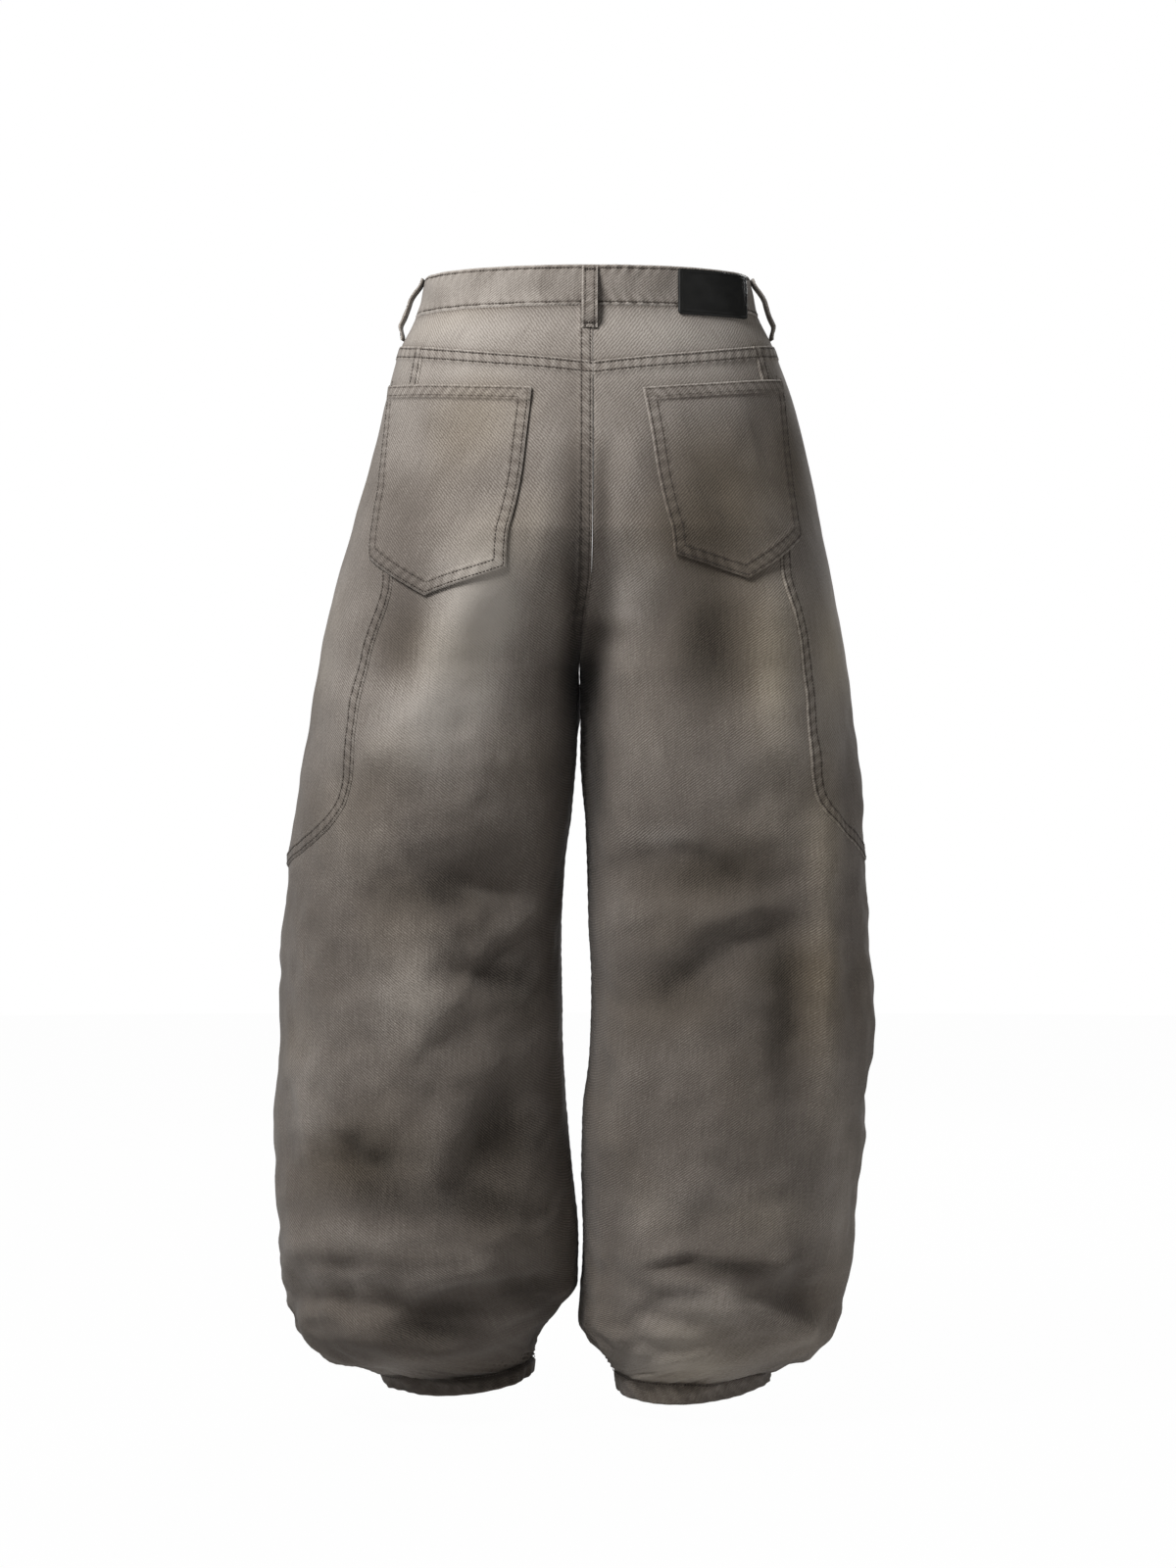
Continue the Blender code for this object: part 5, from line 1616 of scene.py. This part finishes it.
def wash_group():
    """Colour from the measure of wash and painted shade, with uneven mottle: from a deep shade through the
    body colour to a pale one.
    """
    inputs = [
        ("Wash", "NodeSocketFloat", 0.5),
        ("Place", "NodeSocketVector", None),
        ("Weave", "NodeSocketFloat", 0.5),
        ("Slub", "NodeSocketFloat", 0.5),
        ("Olive", "NodeSocketFloat", 0.0),
        ("Deep", "NodeSocketColor", (0.03, 0.025, 0.02, 1.0)),
        ("Body", "NodeSocketColor", (0.2, 0.17, 0.15, 1.0)),
        ("Pale", "NodeSocketColor", (0.6, 0.55, 0.5, 1.0)),
        ("Cast", "NodeSocketColor", (0.2, 0.17, 0.12, 1.0)),
    ]
    outputs = [("Colour", "NodeSocketColor"), ("Height", "NodeSocketFloat")]
    group, given, out = new_group("garment wash", inputs, outputs)
    cloud = stretched_noise(group, given.outputs["Place"], (34.0, 26.0, 1.0), 4.0)
    speck = stretched_noise(group, given.outputs["Place"], (420.0, 420.0, 1.0))
    weave, slub = given.outputs["Weave"], given.outputs["Slub"]
    wash = given.outputs["Wash"]
    mottle = [(cloud, 0.5, 0.14), (speck, 0.5, 0.22), (weave, 0.45, 0.24), (slub, 0.5, 0.20)]
    for pattern, mean, amount in mottle:
        wash = math_node(group, "MULTIPLY_ADD", math_node(group, "SUBTRACT", pattern, mean), amount, wash)
    low = math_node(group, "MULTIPLY", wash, 2.0)
    high = math_node(group, "MULTIPLY_ADD", wash, 2.0, -1.0)
    deep_to_body = mix_node(group, low, given.outputs["Deep"], given.outputs["Body"])
    all_shades = mix_node(group, high, deep_to_body, given.outputs["Pale"])
    cast = mix_node(group, given.outputs["Olive"], all_shades, given.outputs["Cast"], "MULTIPLY")
    group.links.new(cast, out.inputs["Colour"])
    height = math_node(group, "MULTIPLY_ADD", speck, 0.5, weave)
    group.links.new(height, out.inputs["Height"])
    return group


def mix_node(tree, factor, first, second, blend="MIX"):
    node = tree.nodes.new("ShaderNodeMix")
    node.data_type = "RGBA"
    node.blend_type = blend
    node.clamp_factor = True
    tree.links.new(factor, node.inputs["Factor"])
    feed(tree, node.inputs[6], first)
    feed(tree, node.inputs[7], second)
    return node.outputs[2]


def grain_group():
    """Fine leather grain: small cells with soft creases between them."""
    inputs = [("Place", "NodeSocketVector", None), ("Cells per metre", "NodeSocketFloat", 1100.0)]
    outputs = [("Height", "NodeSocketFloat"), ("Rub", "NodeSocketFloat")]
    group, given, out = new_group("leather grain", inputs, outputs)
    cells = group.nodes.new("ShaderNodeTexVoronoi")
    cells.feature = "DISTANCE_TO_EDGE"
    group.links.new(given.outputs["Place"], cells.inputs["Vector"])
    group.links.new(given.outputs["Cells per metre"], cells.inputs["Scale"])
    rub = noise_node(group, given.outputs["Place"], 160.0, 4.0)
    group.links.new(math_node(group, "MINIMUM", cells.outputs["Distance"], 0.3), out.inputs["Height"])
    group.links.new(rub, out.inputs["Rub"])
    return group


def new_material(name, roughness, metallic=0.0):
    material = bpy.data.materials.new(name)
    material.use_nodes = True
    shader = material.node_tree.nodes["Principled BSDF"]
    shader.inputs["Roughness"].default_value = roughness
    shader.inputs["Metallic"].default_value = metallic
    return material, material.node_tree, shader


def read_measure(tree, name, output):
    node = tree.nodes.new("ShaderNodeAttribute")
    node.attribute_name = name
    return node.outputs[output]


def place_group(tree, group, **values):
    node = tree.nodes.new("ShaderNodeGroup")
    node.node_tree = group
    for name, value in values.items():
        feed(tree, node.inputs[name], value)
    return node


def add_bump(tree, shader, height, strength, distance):
    bump = tree.nodes.new("ShaderNodeBump")
    bump.inputs["Strength"].default_value = strength
    bump.inputs["Distance"].default_value = distance
    tree.links.new(height, bump.inputs["Height"])
    tree.links.new(bump.outputs["Normal"], shader.inputs["Normal"])


def denim_material(name, twill, wash, deep, body, pale):
    """Washed twill. Sheen stands for the cotton's short surface fibres."""
    material, tree, shader = new_material(name, 0.92)
    shader.inputs["Specular IOR Level"].default_value = 0.15
    shader.inputs["Sheen Weight"].default_value = 0.12
    shader.inputs["Sheen Roughness"].default_value = 0.6
    place = read_measure(tree, "cloth", "Vector")
    weave = place_group(tree, twill, Place=place)
    measures = {"Wash": read_measure(tree, "wash", "Fac"), "Olive": read_measure(tree, "olive", "Fac")}
    pattern = {"Place": place, "Weave": weave.outputs["Weave"], "Slub": weave.outputs["Slub"]}
    shades = {"Deep": deep, "Body": body, "Pale": pale, "Cast": OLIVE_CAST}
    colour = place_group(tree, wash, **measures, **pattern, **shades)
    tree.links.new(colour.outputs["Colour"], shader.inputs["Base Color"])
    add_bump(tree, shader, colour.outputs["Height"], 0.45, 0.0004)
    return material


def thread_material():
    material, tree, shader = new_material("brown thread", 0.75)
    place = tree.nodes.new("ShaderNodeTexCoord").outputs["Object"]
    shade = noise_node(tree, place, 900.0, 2.0)
    colour = mix_node(tree, shade, *THREAD_SHADES)
    tree.links.new(colour, shader.inputs["Base Color"])
    return material


def leather_material(grain):
    material, tree, shader = new_material("black leather", 0.5)
    shader.inputs["Specular IOR Level"].default_value = 0.35
    place = read_measure(tree, "cloth", "Vector")
    texture = place_group(tree, grain, Place=place)
    rub = math_node(tree, "ADD", texture.outputs["Rub"], read_measure(tree, "wash", "Fac"))
    colour = mix_node(tree, math_node(tree, "MULTIPLY", rub, 0.6), *LEATHER_SHADES)
    tree.links.new(colour, shader.inputs["Base Color"])
    tree.links.new(math_node(tree, "MULTIPLY_ADD", rub, 0.25, 0.38), shader.inputs["Roughness"])
    add_bump(tree, shader, texture.outputs["Height"], 0.35, 0.0004)
    return material


def metal_material():
    material, tree, shader = new_material("aged brass", 0.35, 1.0)
    place = tree.nodes.new("ShaderNodeTexCoord").outputs["Object"]
    stain = noise_node(tree, place, 420.0, 5.0)
    colour = mix_node(tree, stain, *BRASS_SHADES)
    tree.links.new(colour, shader.inputs["Base Color"])
    tree.links.new(math_node(tree, "MULTIPLY_ADD", stain, 0.4, 0.18), shader.inputs["Roughness"])
    return material


# Studio

def look_at(thing, target):
    direction = Vector(target) - thing.location
    thing.rotation_euler = direction.to_track_quat("-Z", "Y").to_euler()


def add_light(name, place, target, width, height, power):
    light = bpy.data.lights.new(name, "AREA")
    light.shape = "RECTANGLE"
    light.size = width
    light.size_y = height
    light.energy = power
    thing = add_object(name, light)
    thing.location = place
    look_at(thing, target)


def add_camera():
    camera = bpy.data.cameras.new("camera")
    camera.sensor_width = 36.0
    camera.lens = camera.sensor_width / (PHOTO_HIGH * PIXEL) * CAMERA_AWAY
    thing = add_object("camera", camera)
    thing.location = (0.0, CAMERA_AWAY, CAMERA_LEVEL)
    thing.rotation_euler = (math.pi / 2.0, 0.0, math.pi)
    bpy.context.scene.camera = thing


def paper_material():
    """White paper, lit a little from within so that it stays pale in the shadow."""
    material, tree, shader = new_material("white paper", 0.9)
    shader.inputs["Base Color"].default_value = (0.6, 0.6, 0.6, 1.0)
    glow = tree.nodes.new("ShaderNodeEmission")
    glow.inputs["Strength"].default_value = 1.0
    seen = tree.nodes.new("ShaderNodeLightPath")
    blend = tree.nodes.new("ShaderNodeMixShader")
    share = math_node(tree, "MULTIPLY", seen.outputs["Is Camera Ray"], 0.985)
    tree.links.new(share, blend.inputs["Fac"])
    tree.links.new(shader.outputs["BSDF"], blend.inputs[1])
    tree.links.new(glow.outputs["Emission"], blend.inputs[2])
    tree.links.new(blend.outputs["Shader"], tree.nodes["Material Output"].inputs["Surface"])
    return material


def add_floor():
    """A round pale floor below the hems."""
    bpy.ops.mesh.primitive_circle_add(vertices=96, radius=7.0, fill_type="NGON", location=(0.0, 0.0, -1.0))
    floor = bpy.context.object
    floor.name = "floor"
    floor.data.materials.append(paper_material())


def add_world():
    world = bpy.data.worlds.new("studio")
    bpy.context.scene.world = world
    world.use_nodes = True
    tree = world.node_tree
    background = tree.nodes["Background"]
    background.inputs["Color"].default_value = (1.0, 1.0, 1.0, 1.0)
    seen = tree.nodes.new("ShaderNodeLightPath")
    strength = math_node(tree, "MULTIPLY_ADD", seen.outputs["Is Camera Ray"], 0.94, 0.06)
    tree.links.new(strength, background.inputs["Strength"])


def build_studio():
    add_world()
    add_floor()
    add_camera()
    add_light("key light", (1.0, 1.1, 1.1), (0.05, 0.0, -0.35), 0.7, 0.7, 46.0)
    add_light("fill light", (-2.6, 1.1, -0.1), (-0.1, 0.0, -0.5), 1.4, 1.8, 11.0)
    add_light("front light", (-1.0, -3.2, 1.2), (0.0, 0.0, -0.4), 1.6, 1.6, 85.0)
    bpy.context.scene.view_settings.view_transform = "Standard"


def build_jeans():
    twill, wash = twill_group(), wash_group()
    denim = denim_material("washed denim", twill, wash, *DENIM_SHADES)
    reverse = denim_material("denim reverse", twill, wash, *REVERSE_SHADES)
    thread = thread_material()
    cloths = [denim, reverse]
    build_waistband(cloths)
    for side in (LEFT, RIGHT):
        build_yoke(side, cloths)
        build_back(side, cloths)
        build_side_panel(side, cloths)
        build_front(side, cloths)
        stitch_yoke(side, thread)
        stitch_side_panel(side, thread)
        stitch_hem(side, thread)
    for pocket in POCKETS:
        build_pocket(pocket, cloths)
        stitch_pocket(pocket, thread)
    for loop in LOOPS:
        build_loop(loop, cloths)
    build_patch(leather_material(grain_group()))
    build_fly(cloths)
    build_button(metal_material())
    stitch_centre_back(thread)
    stitch_band(thread)
    stitch_loops(thread)
    stitch_front(thread)


build_jeans()
build_studio()
